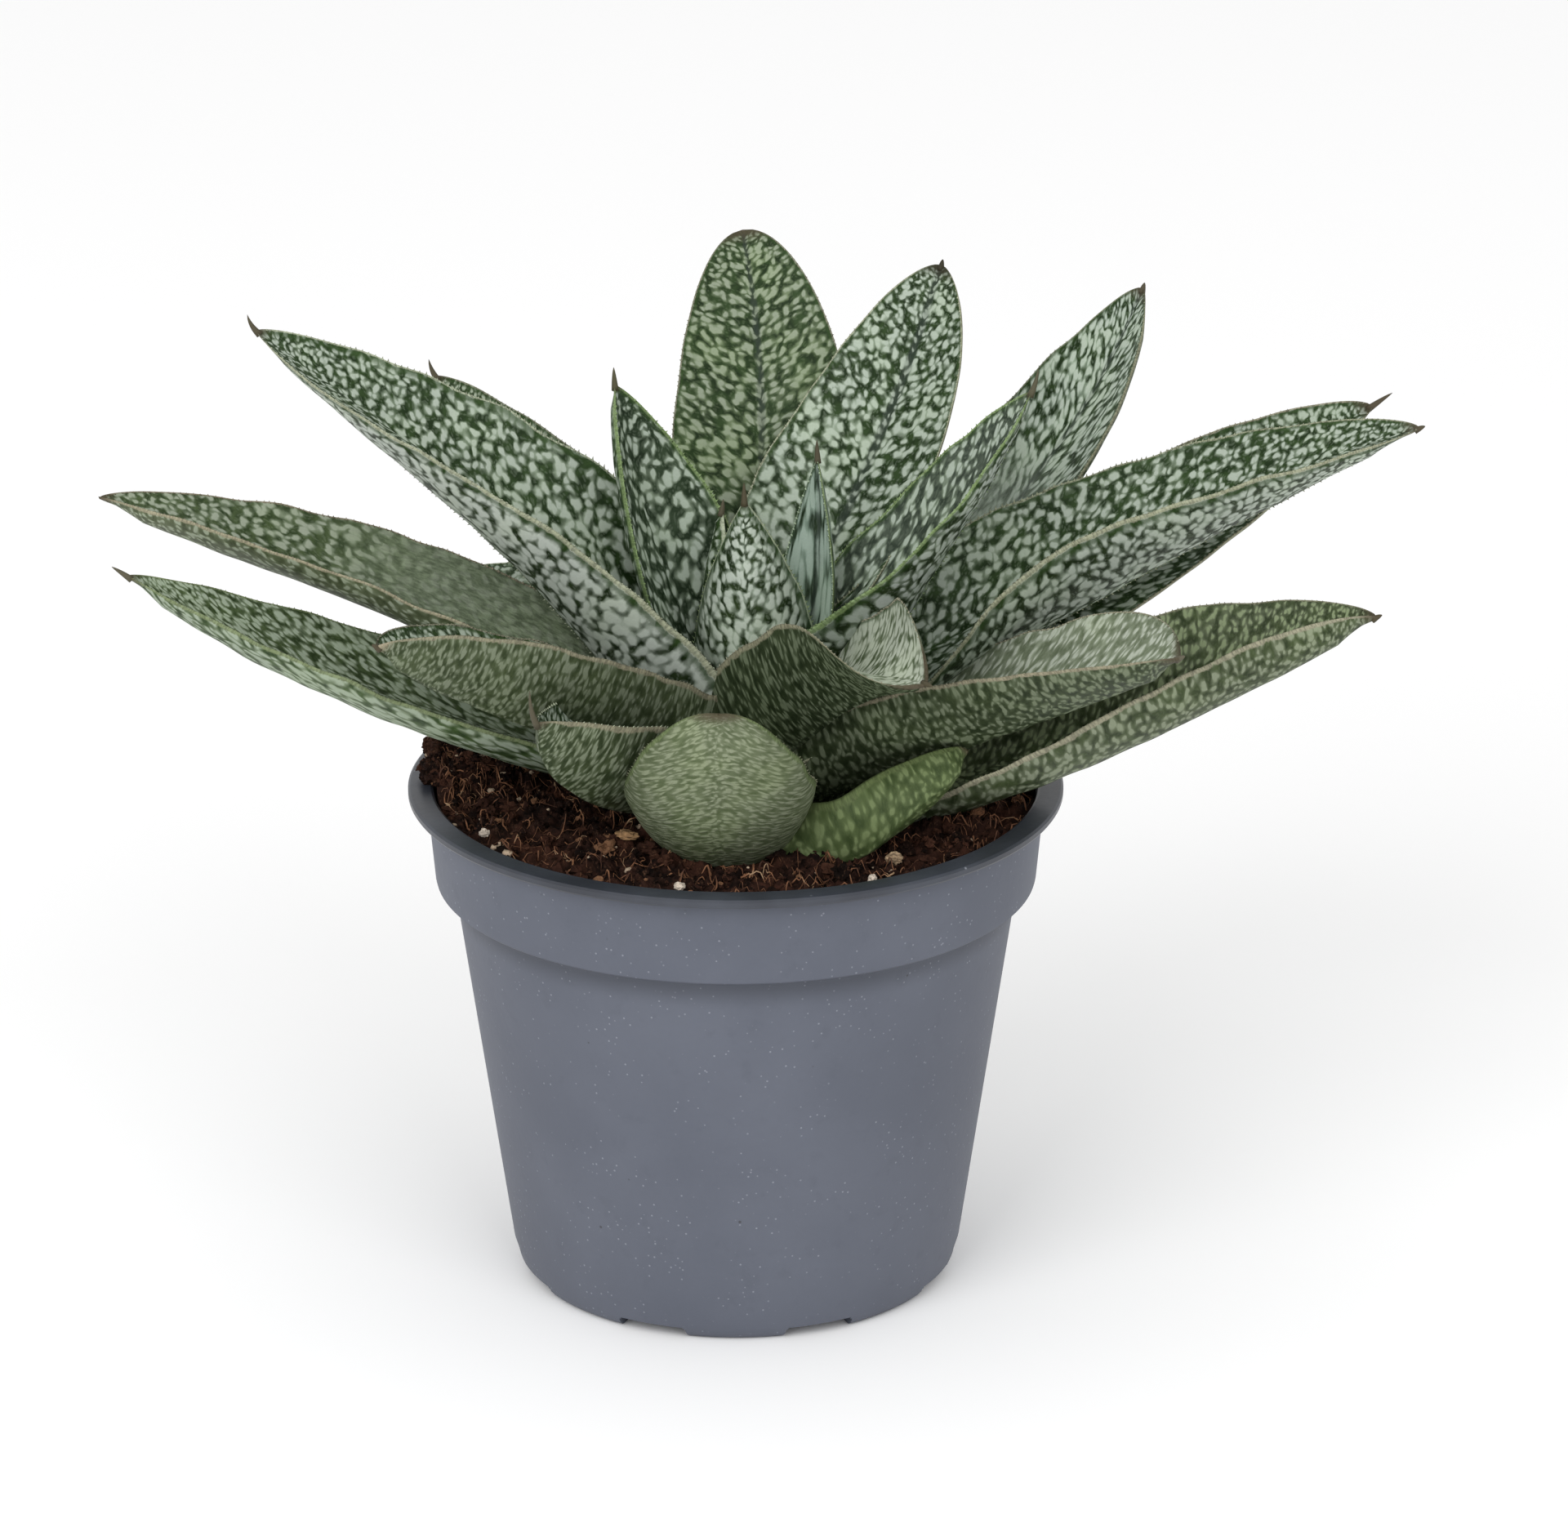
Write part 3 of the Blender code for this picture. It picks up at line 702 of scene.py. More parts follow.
    def depth(self, u: np.ndarray, t: np.ndarray, share: np.ndarray) -> np.ndarray:
        """How far the underside lies below the upper face.

        Args:
            u: Signed shares of the half width.
            t: Shares of the leaf's length.
            share: Shares of the leaf's largest width.

        Returns:
            The depth at each point, in mm.
        """
        close = np.clip((1 - t) * 14, 0.35, 1)
        thick = spread(self.thick, t) * np.minimum(1, 0.35 + share) * close
        keeled = 1 - np.sqrt(u**2 + self.keel_round**2) + self.keel_round
        body = self.keel * keeled + (1 - self.keel) * np.sqrt(np.maximum(1 - u**2, 0))
        lip = np.minimum(self.edge, 0.15 + share * 2)[:, None] * np.sqrt(np.maximum(1 - u**10, 0))
        return thick[:, None] * body + lip * close[:, None]

    def waves(self, length: np.ndarray) -> np.ndarray:
        """How the two margins wander along the leaf.

        Args:
            length: Distances from the foot, in mm.

        Returns:
            A row for each distance: left margin, right margin.
        """
        return np.array([[noise.noise(Vector((s * 0.13, sign * 9, self.number * 7.3))) for sign in (-1, 1)]
                         for s in length])

    def surface(self) -> dict:
        """The loft's rings, and what the skins need at each point.

        Returns:
            Arrays by name.
        """
        t = 1 - (1 - np.linspace(0, 1, self.rings + 1)) ** 1.3
        points, along = self.midrib(t)
        side, up = self.axes(t, along)
        share = self.outline(t)
        u, upper = self.lattice()
        length = np.concatenate(([0], np.cumsum(np.linalg.norm(np.diff(points, axis=0), axis=1))))
        fade = np.clip((1 - t) * 5, 0, 1)
        wave = self.waves(length)
        half_width = self.width / 2 * share
        fold = np.radians(np.maximum(spread(self.fold, t), 1))
        flat, high = self.section(u, fold)
        down = np.where(upper, 0.0, -self.depth(u, t, share))
        sway = np.where(u < 0, wave[:, :1], wave[:, 1:]) * np.abs(u) ** 2 * fade[:, None]
        wide = half_width[:, None] * (1 + 0.035 * sway)
        rings = points[:, None, :] + (flat * wide)[..., None] * side[:, None, :]
        rings = rings + (high * wide + down + 0.45 * sway)[..., None] * up[:, None, :]
        rings = rings + (self.dents(rings) * fade[:, None])[..., None] * up[:, None, :]
        shape = rings.shape[:2]
        small = np.clip(half_width / (self.width / 2), 0.3, 1) ** 0.5
        paced = np.concatenate(([0], np.cumsum(np.diff(length) / ((small[1:] + small[:-1]) / 2))))
        place = np.stack((u * (half_width / small)[:, None], np.broadcast_to(paced[:, None], shape),
                          np.full(shape, self.number * 3.7)), -1)
        gap = (1 - np.abs(u)) * half_width[:, None]
        gap = np.minimum(gap, np.maximum(length[-1] - length, 0)[:, None] + 0.05)
        parts = np.stack((np.broadcast_to(u, shape), np.broadcast_to(t[:, None], shape), gap), -1)
        return {"t": t, "along": along, "side": side, "up": up, "rings": rings, "place": place,
                "share": parts, "points": points, "length": length, "fold": fold, "upper": upper, "u": u}

    def dents(self, rings: np.ndarray) -> np.ndarray:
        """Slow unevenness of the skin, in mm.

        Args:
            rings: The loft.

        Returns:
            How far each point moves.
        """
        shift = Vector((self.number * 3.1, 0, 0))
        return np.array([[noise.noise(Vector(p) * 0.16 + shift) for p in row] for row in rings]) * 0.28

    def build(self) -> bpy.types.Object:
        """Makes the leaf and dresses it.

        Returns:
            The leaf.
        """
        s = self.surface()
        rings, upper = s["rings"], s["upper"]
        count, around = rings.shape[0], rings.shape[1]
        points = [rings.reshape(-1, 3)]
        place, share = [s["place"].reshape(-1, 3)], [s["share"].reshape(-1, 3)]
        faces, kinds = [], []
        for i in range(count - 1):
            for j in range(around):
                k = (j + 1) % around
                faces.append((i * around + j, (i + 1) * around + j, (i + 1) * around + k, i * around + k))
                kinds.append(0 if upper[j] and upper[k] else 1)
        ends = np.array((rings[0].mean(0), s["points"][-1] + s["along"][-1] * 0.25))
        points.append(ends)
        place.append(np.array((s["place"][0, 0], s["place"][-1, 0])))
        share.append(np.array(((0, 0, 3), (0, 1, 0))))
        base, last = count * around, (count - 1) * around
        for j in range(around):
            k = (j + 1) % around
            faces += [(j, k, base), (last + k, last + j, base + 1)]
            kinds += [1, 1]
        made = [np.concatenate(points), np.concatenate(place), np.concatenate(share)]
        for more_points, more_faces, more_place, more_share in self.trimmings(s):
            start = len(made[0])
            faces += [tuple(start + n for n in face) for face in more_faces]
            kinds += [0] * len(more_faces)
            made = [np.concatenate(pair) for pair in zip(made, (more_points, more_place, more_share))]
        names = (f"{self.name}_upper_skin", f"{self.name}_under_skin")
        skins = [self.upper.make(names[0]), self.under.make(names[1])]
        leaf = as_object(f"{self.name}_fine", made[0], faces, skins, kinds)
        store(leaf.data, "leaf_place", made[1])
        store(leaf.data, "leaf_share", made[2])
        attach(leaf, BODY)
        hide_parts(self.name)
        return leaf

    def trimmings(self, s: dict) -> list:
        """The teeth of the margins and keel, and the spine.

        Args:
            s: What surface() gives.

        Returns:
            Points, faces, place and share of all of them.
        """
        rng = np.random.default_rng(100 + self.number)
        out = []
        rings, u = s["rings"], s["u"]
        left, right = int(np.argmin(u)), int(np.argmax(u))
        keel = int(len(u) - (len(u) - right) / 2) if self.keel_teeth else None
        rows = [(left, -1.0, self.teeth), (right, 1.0, self.teeth)]
        if keel:
            rows.append((keel, 0.0, self.keel_teeth))
        for column, sign, tall in rows:
            if tall <= 0:
                continue
            where = self.first_tooth
            while where < s["length"][-1] - 1.5:
                where += self.tooth_pitch + self.tooth_scatter * rng.random()
                spot = np.interp(where, s["length"], np.arange(len(rings)))
                i = min(int(spot), len(rings) - 2)
                at = rings[i, column] * (1 - spot + i) + rings[i + 1, column] * (spot - i)
                f = s["fold"][i]
                outward = s["side"][i] * sign * cos(f) + s["up"][i] * sin(f) if sign else -s["up"][i]
                fade = min(1.0, (1 - s["t"][i]) * 6) * (1.15 - 0.6 * s["t"][i])
                along = s["along"][i]
                height = tall * fade * (0.5 + 0.8 * rng.random())
                out.append(self.tooth(at, unit(outward + 0.5 * along), along, height, s["place"][i, column],
                                      s["t"][i]))
        if self.spine > 0.6:
            out.append(self.thorn(s))
        return self.joined(out)

    def joined(self, bits: list) -> list:
        """Many small meshes made one, so that they are added in one step.

        Args:
            bits: Points, faces, place and share of each.

        Returns:
            The same four of all of them, or nothing.
        """
        if not bits:
            return []
        starts = np.cumsum([0] + [len(b[0]) for b in bits[:-1]])
        faces = [tuple(int(start) + n for n in face) for start, b in zip(starts, bits) for face in b[1]]
        return [(np.concatenate([b[0] for b in bits]), faces, np.concatenate([b[2] for b in bits]),
                 np.concatenate([b[3] for b in bits]))]

    def tooth(self, at: np.ndarray, out: np.ndarray, along: np.ndarray, tall: float, place: np.ndarray,
              t: float) -> tuple:
        """One small tooth, a closed pyramid whose foot is inside the margin.

        Args:
            at: The point of the margin.
            out: Which way it points.
            along: The leaf's direction there.
            tall: Its height.
            place: The skin's place there.
            t: The share of the leaf's length.

        Returns:
            Points, faces, place and share.
        """
        long, wide, deep = self.tooth_foot
        cross = unit(np.cross(out, along))
        foot = at - out * deep
        points = np.array([foot + along * long, foot + cross * wide, foot - along * long, foot - cross * wide,
                           at + out * tall])
        faces = [(0, 1, 4), (1, 2, 4), (2, 3, 4), (3, 0, 4), (3, 2, 1, 0)]
        return points, faces, np.repeat([place], 5, 0), np.repeat([(1.0, min(t, 0.9), 0.0)], 5, 0)

    def thorn(self, s: dict) -> tuple:
        """The tapered spine at the tip, bent as the leaf's is.

        Args:
            s: What surface() gives.

        Returns:
            Points, faces, place and share.
        """
        along = s["along"][-1]
        start = s["points"][-1] - along * 0.9 - s["up"][-1] * 0.25
        end = s["points"][-1] + unit(along + np.array((0, 0, self.hook))) * (self.spine - self.spine_inset)
        bend = s["points"][-1] + along * self.spine * 0.45
        side, points, faces = s["side"][-1], [], []
        last, sides = self.spine_rings - 1, self.spine_sides
        for k in range(self.spine_rings):
            q = k / last
            centre = (1 - q) ** 2 * start + 2 * (1 - q) * q * bend + q * q * end
            normal = unit(np.cross(side, unit(bend - start)))
            radius = self.spine_foot * (1 - q) ** 0.75 + 0.04
            for j in range(sides):
                a = 2 * pi * j / sides
                points.append(centre + radius * (side * cos(a) + normal * sin(a)))
        for k in range(last):
            for j in range(sides):
                n = (j + 1) % sides
                faces.append((k * sides + j, k * sides + n, (k + 1) * sides + n, (k + 1) * sides + j))
        faces += [tuple(range(sides))[::-1], tuple(last * sides + j for j in range(sides))]
        place, share = s["place"][-1, 0], (0, 1.0, 0.3)
        return np.array(points), faces, np.repeat([place], len(points), 0), np.repeat([share], len(points), 0)


class Slot(Enum):
    """The record's material slots. Leaves and bits keep one each; only a bit's is read, to choose its finish.
    """

    POT = "pot_plastic"
    SOIL = "peat_soil"
    YOUNG = "young_leaf"
    UPPER = "upper_leaf"
    OLD = "old_leaf"
    SHADED = "shaded_leaf"
    PERLITE = "perlite"
    BARK = "bark"


YOUNG, UPPER, OLD = Slot.YOUNG.value, Slot.UPPER.value, Slot.OLD.value


def leaves() -> list[Leaf]:
    """All leaves, with the sizes that the solids have and the skins that each shows.

    Returns:
        The leaves.
    """
    tan_edge, cream, lime = paint(152, 149, 127), paint(176, 186, 156), paint(130, 152, 102)
    made = [
        Leaf("leaf_heart_front", YOUNG, -95, (3, -5, 98), (1.5, -9, 133), 27, (35, 50), (3, 1.5),
             replace(OVALS, cell=(1.6, 3.4)),
             replace(BLOTCHED, cell=(1.7, 1.9), cover=0.48, margin=cream, margin_width=0.35, line=1.1,
                     tip_from=0.95),
             arch=(-2, -1), belly=0.12, neck=0.95, blunt=0.95, crease=0.2, spine=3, hook=0.9, teeth=0.55),
        Leaf("leaf_heart_right", YOUNG, 70, (8, 1, 98), (13, 6, 135), 16, (40, 60), (3, 1),
             replace(OVALS, cell=(1.3, 7.0), cover=0.6, join=0.5, lean=0.1, streak=1.0,
                     spot=paint(162, 178, 166), spot_dim=paint(128, 146, 132), margin=paint(168, 186, 156)),
             replace(OVALS, cell=(1.3, 7.0), cover=0.56, join=0.5, lean=0.1, spot=paint(162, 178, 166)),
             arch=(1, 1), sway=(-4, -2), belly=0.3, neck=0.8, blunt=0.9, spine=3, hook=0.9),
        Leaf("leaf_heart_left", YOUNG, 150, (-5, -1, 100), (-2, 2, 127.5), 11, (45, 60), (2.5, 1),
             replace(OVALS, cell=(1.5, 3.6)), replace(BOLD, cell=(1.6, 2.2)),
             belly=0.3, neck=0.8, blunt=0.9, spine=2, hook=0.9),
        Leaf("leaf_inner_right", YOUNG, -8, (4, -3, 97), (46.5, -6, 150), 27, (52, 30, 20), (9, 3, 1.5),
             replace(OVALS, cell=(1.5, 2.8), lean=0.8, flesh=paint(46, 56, 46), flesh_light=paint(70, 80, 68),
                     margin=lime, margin_width=0.4),
             replace(BLOTCHED, cell=(1.7, 1.9), cover=0.48, keel=0.8, margin=lime, margin_width=0.4, line=0.7,
                     spot=paint(176, 184, 176)),
             arch=(-6, -3), roll=(2, 12, 25), belly=0.35, neck=0.8, blunt=0.85, keel=0.8, spine=4, hook=0.9,
             teeth=0.55, keel_teeth=0.45),
        Leaf("leaf_inner_left", YOUNG, 150, (-4, 2, 98), (-19, 8, 146.5), 25, (35, 45), (5, 2),
             replace(OVALS, cell=(1.7, 2.6), lean=0.2, margin=lime, margin_width=0.7, cover=0.38),
             replace(BOLD, margin=lime, margin_width=0.6),
             arch=(-1, -2), roll=(-25, -20), belly=0.35, neck=0.75, blunt=0.8, spine=3, hook=0.9, teeth=0.5),
        Leaf("leaf_back_broad", UPPER, 50, (1, 1, 94), (33, 32, 159), 34, (25, 8), (5, 2),
             replace(ROWED, cell=(1.8, 1.7), streak=2.0, low_cover=0.2, lean=0.3, spot=paint(164, 175, 161),
                     spot_dim=paint(134, 147, 129), margin=paint(164, 168, 142), tip_from=0.96,
                     tip=paint(52, 46, 36)),
             MOTTLED, arch=(-3, -4), belly=0.42, neck=0.6, blunt=0.6),
        Leaf("leaf_back_tall", UPPER, 90, (0, 2, 92), (1, 48, 160), 31, (25, 8), (5, 2),
             replace(ROWED, cell=(1.9, 1.5), low_cover=0.12, streak=1.3, lean=0.4, sun=0.25,
                     spot=paint(138, 148, 128), spot_dim=paint(104, 118, 90), margin=paint(138, 138, 118)),
             MOTTLED, arch=(-4, -5), sway=(-3, -4), belly=0.45, neck=0.6, blunt=0.5, spine=0.6),
        Leaf("leaf_right_tall", UPPER, 30, (4, 8, 91.5), (65.5, 34, 154.5), 34, (25, 10), (5, 2),
             replace(STREAKED, streak=1.5, wash=0.7, wash_span=(0.3, 0.6), wash_shade=paint(156, 168, 154)),
             MOTTLED, arch=(-9, -10), belly=0.45, neck=0.4, blunt=0.65),
        Leaf("leaf_left_long", UPPER, -178, (-2, 0, 94), (-75.5, 5, 156.5), 33, (46, 38, 18), (13, 6, 1.5),
             replace(BOLD, cell=(1.65, 1.9), low_cover=0.08, margin=paint(170, 177, 152), line=0.8),
             replace(BLOTCHED, cell=(1.7, 1.9), cover=0.56, keel=0.8, margin=paint(160, 164, 138), line=0.6,
                     spot=paint(190, 197, 188), spot_dim=paint(150, 159, 147)),
             arch=(5, 1), roll=(-18, -17, -22), belly=0.3, neck=0.85, blunt=0.75, keel=0.8, spine=3, hook=0.9,
             teeth=0.6, keel_teeth=0.45),
        Leaf("leaf_right_long", UPPER, -3, (2, 0, 83), (108, 0, 142), 31, (38, 40, 20), (9, 7, 2),
             replace(BOLD, cell=(1.6, 1.7), margin=paint(152, 156, 130)),
             replace(BLOTCHED, cell=(1.55, 1.7), keel=0.7, margin=paint(158, 160, 134), line=0.6),
             arch=(6, 6), roll=(30, 45, 10, 8, 12), belly=0.35, neck=0.9, keel=0.8, keel_teeth=0.45,
             teeth=0.6),
        Leaf("leaf_left_back", UPPER, 145, (-2, 1, 92), (-49, 42, 137), 22, (30, 30), (5, 2),
             ROWED, MOTTLED, arch=(3, 1), blunt=0.7, spine=3, hook=0.9),
        Leaf("leaf_right_back", UPPER, 15, (2, 0, 82), (102.5, 28, 136.5), 28, (30, 25), (7, 2),
             replace(BOLD, cell=(1.6, 1.7), margin=tan_edge), MOTTLED,
             arch=(0, -0.5), roll=(45, 40, 25), belly=0.45, spine=4),
        Leaf("leaf_front_folded", OLD, -65, (1, -2, 90), (29.5, -45, 115.5), 30, (45, 50, 50), (6, 2),
             replace(ROWED, cell=(2.0, 1.1), cover=0.54, soft=0.26, lean=0.2, spot=paint(178, 185, 170),
                     spot_dim=paint(152, 160, 143), flesh=paint(66, 80, 52), flesh_light=paint(90, 102, 76),
                     margin=tan_edge),
             replace(WAVED, flesh=paint(32, 42, 24), flesh_light=paint(48, 58, 37),
                     spot=paint(98, 108, 86), spot_dim=paint(72, 82, 60), margin=paint(142, 140, 116)),
             arch=(0, 6), roll=(0, 2, 3, 44), belly=0.5, neck=0.95, blunt=0.27, spine=2),
        Leaf("leaf_front_left", OLD, -145, (-2, -1, 90), (-55, -42, 120.5), 30, (45, 40), (5, 2),
             replace(BOLD, margin=paint(132, 130, 110)),
             replace(WAVED, tip=paint(150, 140, 118)),
             arch=(-3, -2), roll=(5, 10), belly=0.5, blunt=0.68, keel=0.5),
        Leaf("leaf_front_right", OLD, -30, (2, -1, 82), (69, -36, 116.5), 32, (42, 31), (5, 2),
             replace(MOTTLED, cell=(2.0, 1.3), spot=paint(172, 179, 164), spot_dim=paint(150, 158, 140),
                     flesh=paint(94, 104, 82), flesh_light=paint(114, 124, 102), margin=tan_edge, lean=0.8),
             replace(WAVED, cell=(1.7, 1.1), flesh=paint(38, 48, 29), flesh_light=paint(56, 66, 43),
                     spot=paint(110, 119, 97), spot_dim=paint(84, 94, 71), margin=paint(146, 140, 118)),
             arch=(-1, 0), roll=(-8, -2, 15), belly=0.6, blunt=0.45),
        Leaf("leaf_left_middle", OLD, 178, (-2, 0, 84), (-100.5, 0, 130.5), 27, (30, 30), (4, 2.5, 2.5),
             replace(BOLD, cell=(1.5, 2.2), spot=paint(142, 150, 133), spot_dim=paint(116, 127, 106),
                     wash=0.75, wash_span=(0.22, 0.6), wash_shade=paint(118, 129, 107),
                     margin=paint(138, 130, 110), margin_width=0.25, line=0.0, flesh=paint(44, 58, 33),
                     flesh_light=paint(70, 84, 54)),
             replace(MOTTLED, cell=(1.6, 1.8), spot=paint(142, 150, 131), flesh=paint(58, 66, 44),
                     flesh_light=paint(80, 88, 64), margin=paint(154, 148, 124)),
             arch=(5, 3), roll=(-8, -4), blunt=0.75, keel=0.6, spine=0.5),
        Leaf("leaf_front_small", OLD, -125, (-1, -2, 90), (-30.5, -42, 108), 28, (50, 48), (8, 3),
             BOLD,
             replace(WAVED, flesh=paint(42, 52, 31), flesh_light=paint(58, 68, 44)),
             arch=(-6, -8), roll=(-5, -5), belly=0.55, blunt=0.75, spine=6, hook=1.5, teeth=0.5),
        Leaf("leaf_front_short", OLD, -90, (0, -2, 82), (-2.5, -46, 111), 32, (26, 10), (12, 3),
             MOTTLED,
             replace(WAVED, cell=(1.5, 0.65), cover=0.44, soft=0.34, lean=0.3, spot=paint(126, 133, 110),
                     spot_dim=paint(112, 120, 96), flesh=paint(76, 86, 60), flesh_light=paint(92, 101, 76),
                     margin=paint(104, 118, 80), sun=0.2, bow=0.05),
             arch=(-9.5, -11), sway=(-0.7, -0.7), belly=0.5, neck=0.8, blunt=0.5, crease=0, keel=0, spine=0.5,
             teeth=0.38),
        Leaf("leaf_right_low", OLD, -15, (2, -1, 78), (100.5, -20, 117.5), 31, (40, 42, 40), (7, 6, 2),
             replace(MOTTLED, spot=paint(128, 140, 108)), replace(MOTTLED, cell=(1.8, 1.5), margin=tan_edge),
             arch=(-8, -1), roll=(45, 28, 0), belly=0.5, blunt=0.7),
        Leaf("leaf_left_low", OLD, -172, (-2, 0, 83), (-95.5, -12, 121.5), 26, (25, 25), (6, 2),
             FLECKED,
             replace(FLECKED, cell=(1.3, 2.8), flesh=paint(38, 56, 26), flesh_light=paint(66, 86, 48)),
             arch=(-5, -5), roll=(-10, -8), belly=0.35, blunt=0.75, keel=0.6, spine=3),
        Leaf("leaf_soil_curled", Slot.SHADED.value, -20, (3, -13, 80), (36.5, -22, 96), 12.5, (22, 22),
             (5.5, 5.5, 2), SHADED, SHADED, arch=(-3, -3), sway=(-12, -6), roll=(-66, -66, -36, -62, -30),
             belly=0.5, neck=0.8, blunt=0.5, keel=0.1, spine=0.5, teeth=0.0),
        Leaf("leaf_rear_right", OLD, 46, (2, 1, 86), (54, 55, 112), 28, (32, 18), (6, 2), ROWED, MOTTLED,
             arch=(5, 4)),
        Leaf("leaf_rear_tall", UPPER, 76, (1, 2, 87), (18, 74, 118), 29, (32, 18), (6, 2), ROWED, MOTTLED,
             arch=(4, 3)),
        Leaf("leaf_rear_low", OLD, 104, (0, 2, 80), (-19, 74, 103), 28, (32, 18), (6, 2), FLECKED, WAVED,
             arch=(4, 4)),
        Leaf("leaf_rear_left", OLD, 133, (-1, 2, 84), (-46, 52, 100), 27, (32, 18), (6, 2), BOLD, MOTTLED,
             arch=(4, 4)),
    ]
    for number, leaf in enumerate(made):
        leaf.number = number + 1
    return made


# Pot


@dataclass
class Pot:
    """The tapered nursery pot. Sizes in mm, as in the solid."""

    rim_radius: float = 52.5
    rim_thickness: float = 1.1
    collar_top: float = 49.5
    collar_foot: float = 48.3
    collar_height: float = 66.7
    wall_top: float = 45.2
    base: float = 35.7
    height: float = 82.6
    wall: float = 1.2
    step_drop: float = 1.3
    floor: float = 3.2
    feet: int = 8
    notch_width: float = 11.5
    notch_height: float = 2.0
    notch_inner: float = 14.0
    drain_radius: float = 3.0
    drain_place: float = 24.0
    lip_height: float = 1.75
    lip_inside: float = 47.6
    steps: int = 192

    def profile(self) -> list[tuple[float, float]]:
        """The pot's half section, from the middle of its floor over the rim and back under it.

        Returns:
            Radius and height of each corner.
        """
        lean = (self.wall_top - self.base) / (self.collar_height - self.step_drop)
        top, thin = self.height, self.height - self.rim_thickness
        inner, collar, edge = self.base - self.wall, self.collar_top, self.rim_radius
        high, low = 80.4, 67.5
        line = [(0, self.floor), (inner - 2, self.floor), (inner - 1 + lean * self.floor, self.floor + 0.5)]
        line += [(inner + lean * (self.floor + 2), self.floor + 2)]
        line += [(self.wall_top - self.wall, self.collar_height)]
        line += [(self.collar_foot - self.wall, 68.2), (collar - self.wall - 0.05, 81.6)]
        line += [(collar - self.wall + 0.15, 82.3), (collar - self.wall + 0.6, top)]
        line += [(edge - 0.9, top), (edge - 0.35, top - 0.12), (edge, top - 0.45)]
        line += [(edge, thin - 0.1), (edge - 0.2, thin - 0.4), (edge - 0.9, thin - 0.35)]
        line += [(collar + 0.6, thin - 0.3), (collar + 0.15, thin - 0.5), (collar, thin - 1.1)]
        for k in range(1, 5):
            s = k / 5
            line.append((collar + (self.collar_foot - collar) * s, high + (low - high) * s))
        line += [(self.collar_foot, low), (self.collar_foot - 0.12, 67.0)]
        line += [(self.collar_foot - 0.45, self.collar_height)]
        line += [(self.wall_top + 0.9, 66.2), (self.wall_top + 0.3, 65.7), (self.wall_top + 0.05, 65.2)]
        for k in range(0, 11):
            z = 64.6 + (5 - 64.6) * k / 10
            line.append((self.base + lean * z, z))
        line += [(self.base + 0.15, 3.2), (self.base - 0.1, 2.1), (self.base - 0.5, 1.2)]
        line += [(self.base - 1.1, 0.5), (self.base - 1.7, 0.12), (self.base - 2.3, 0), (0, 0)]
        return line

    def turned(self) -> bpy.types.Object:
        """The pot's round body, without its notches.

        Returns:
            The body.
        """
        line = self.profile()
        points = [(0, 0, z) for r, z in (line[0], line[-1])]
        for r, z in line[1:-1]:
            points += ring(r, z, self.steps)
        faces, rows = [], len(line) - 2
        for k in range(rows - 1):
            for i in range(self.steps):
                n = (i + 1) % self.steps
                a, b = 2 + k * self.steps, 2 + (k + 1) * self.steps
                faces.append((a + i, b + i, b + n, a + n))
        for i in range(self.steps):
            n, last = (i + 1) % self.steps, 2 + (rows - 1) * self.steps
            faces += [(2 + i, 2 + n, 0), (last + n, last + i, 1)]
        return as_object("pot_fine", np.array(points), faces, [self.plastic(), self.lip()])

    def cutter(self, index: int) -> bpy.types.Object:
        """The tool that cuts one water channel and the drain hole in it.

        Args:
            index: Which of the channels.

        Returns:
            The tool.
        """
        edit = bmesh.new()
        length = self.base + 4 - self.notch_inner
        box = bmesh.ops.create_cube(edit, size=1)["verts"]
        bmesh.ops.scale(edit, verts=box, vec=(length * MM, self.notch_width * MM, self.notch_height * 2 * MM))
        bmesh.ops.translate(edit, verts=box, vec=((self.notch_inner + length / 2) * MM, 0, 0))
        bmesh.ops.bevel(edit, geom=edit.edges[:], offset=0.35 * MM, segments=2, affect="EDGES")
        radius, depth = self.drain_radius * MM, (4 * self.floor - 0.01) * MM
        hole = bmesh.ops.create_cone(edit, cap_ends=True, segments=40, radius1=radius, radius2=radius,
                                     depth=depth)["verts"]
        bmesh.ops.translate(edit, verts=hole, vec=(self.drain_place * MM, 0, 0))
        mesh = bpy.data.meshes.new(f"channel_{index}")
        edit.to_mesh(mesh)
        edit.free()
        tool = bpy.data.objects.new(f"channel_{index}", mesh)
        tool.rotation_euler[2] = -pi / 2 + 2 * pi / self.feet * (index + 0.5)
        bpy.context.scene.collection.objects.link(tool)
        return tool

    def build(self) -> bpy.types.Object:
        """Makes the pot with its channels and dresses it.

        Returns:
            The pot.
        """
        pot = self.turned()
        tools = [self.cutter(i) for i in range(self.feet)]
        for tool in tools:
            cut = pot.modifiers.new(tool.name, "BOOLEAN")
            cut.operation = "DIFFERENCE"
            cut.solver = "EXACT"
            cut.object = tool
            cut.use_self = True
        bpy.context.view_layer.update()
        solid = pot.evaluated_get(bpy.context.evaluated_depsgraph_get())
        mesh = bpy.data.meshes.new_from_object(solid)
        pot.modifiers.clear()
        pot.data = mesh
        for tool in tools:
            bpy.data.objects.remove(tool)
        self.set_edges(pot)
        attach(pot, BODY)
        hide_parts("pot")
        return pot

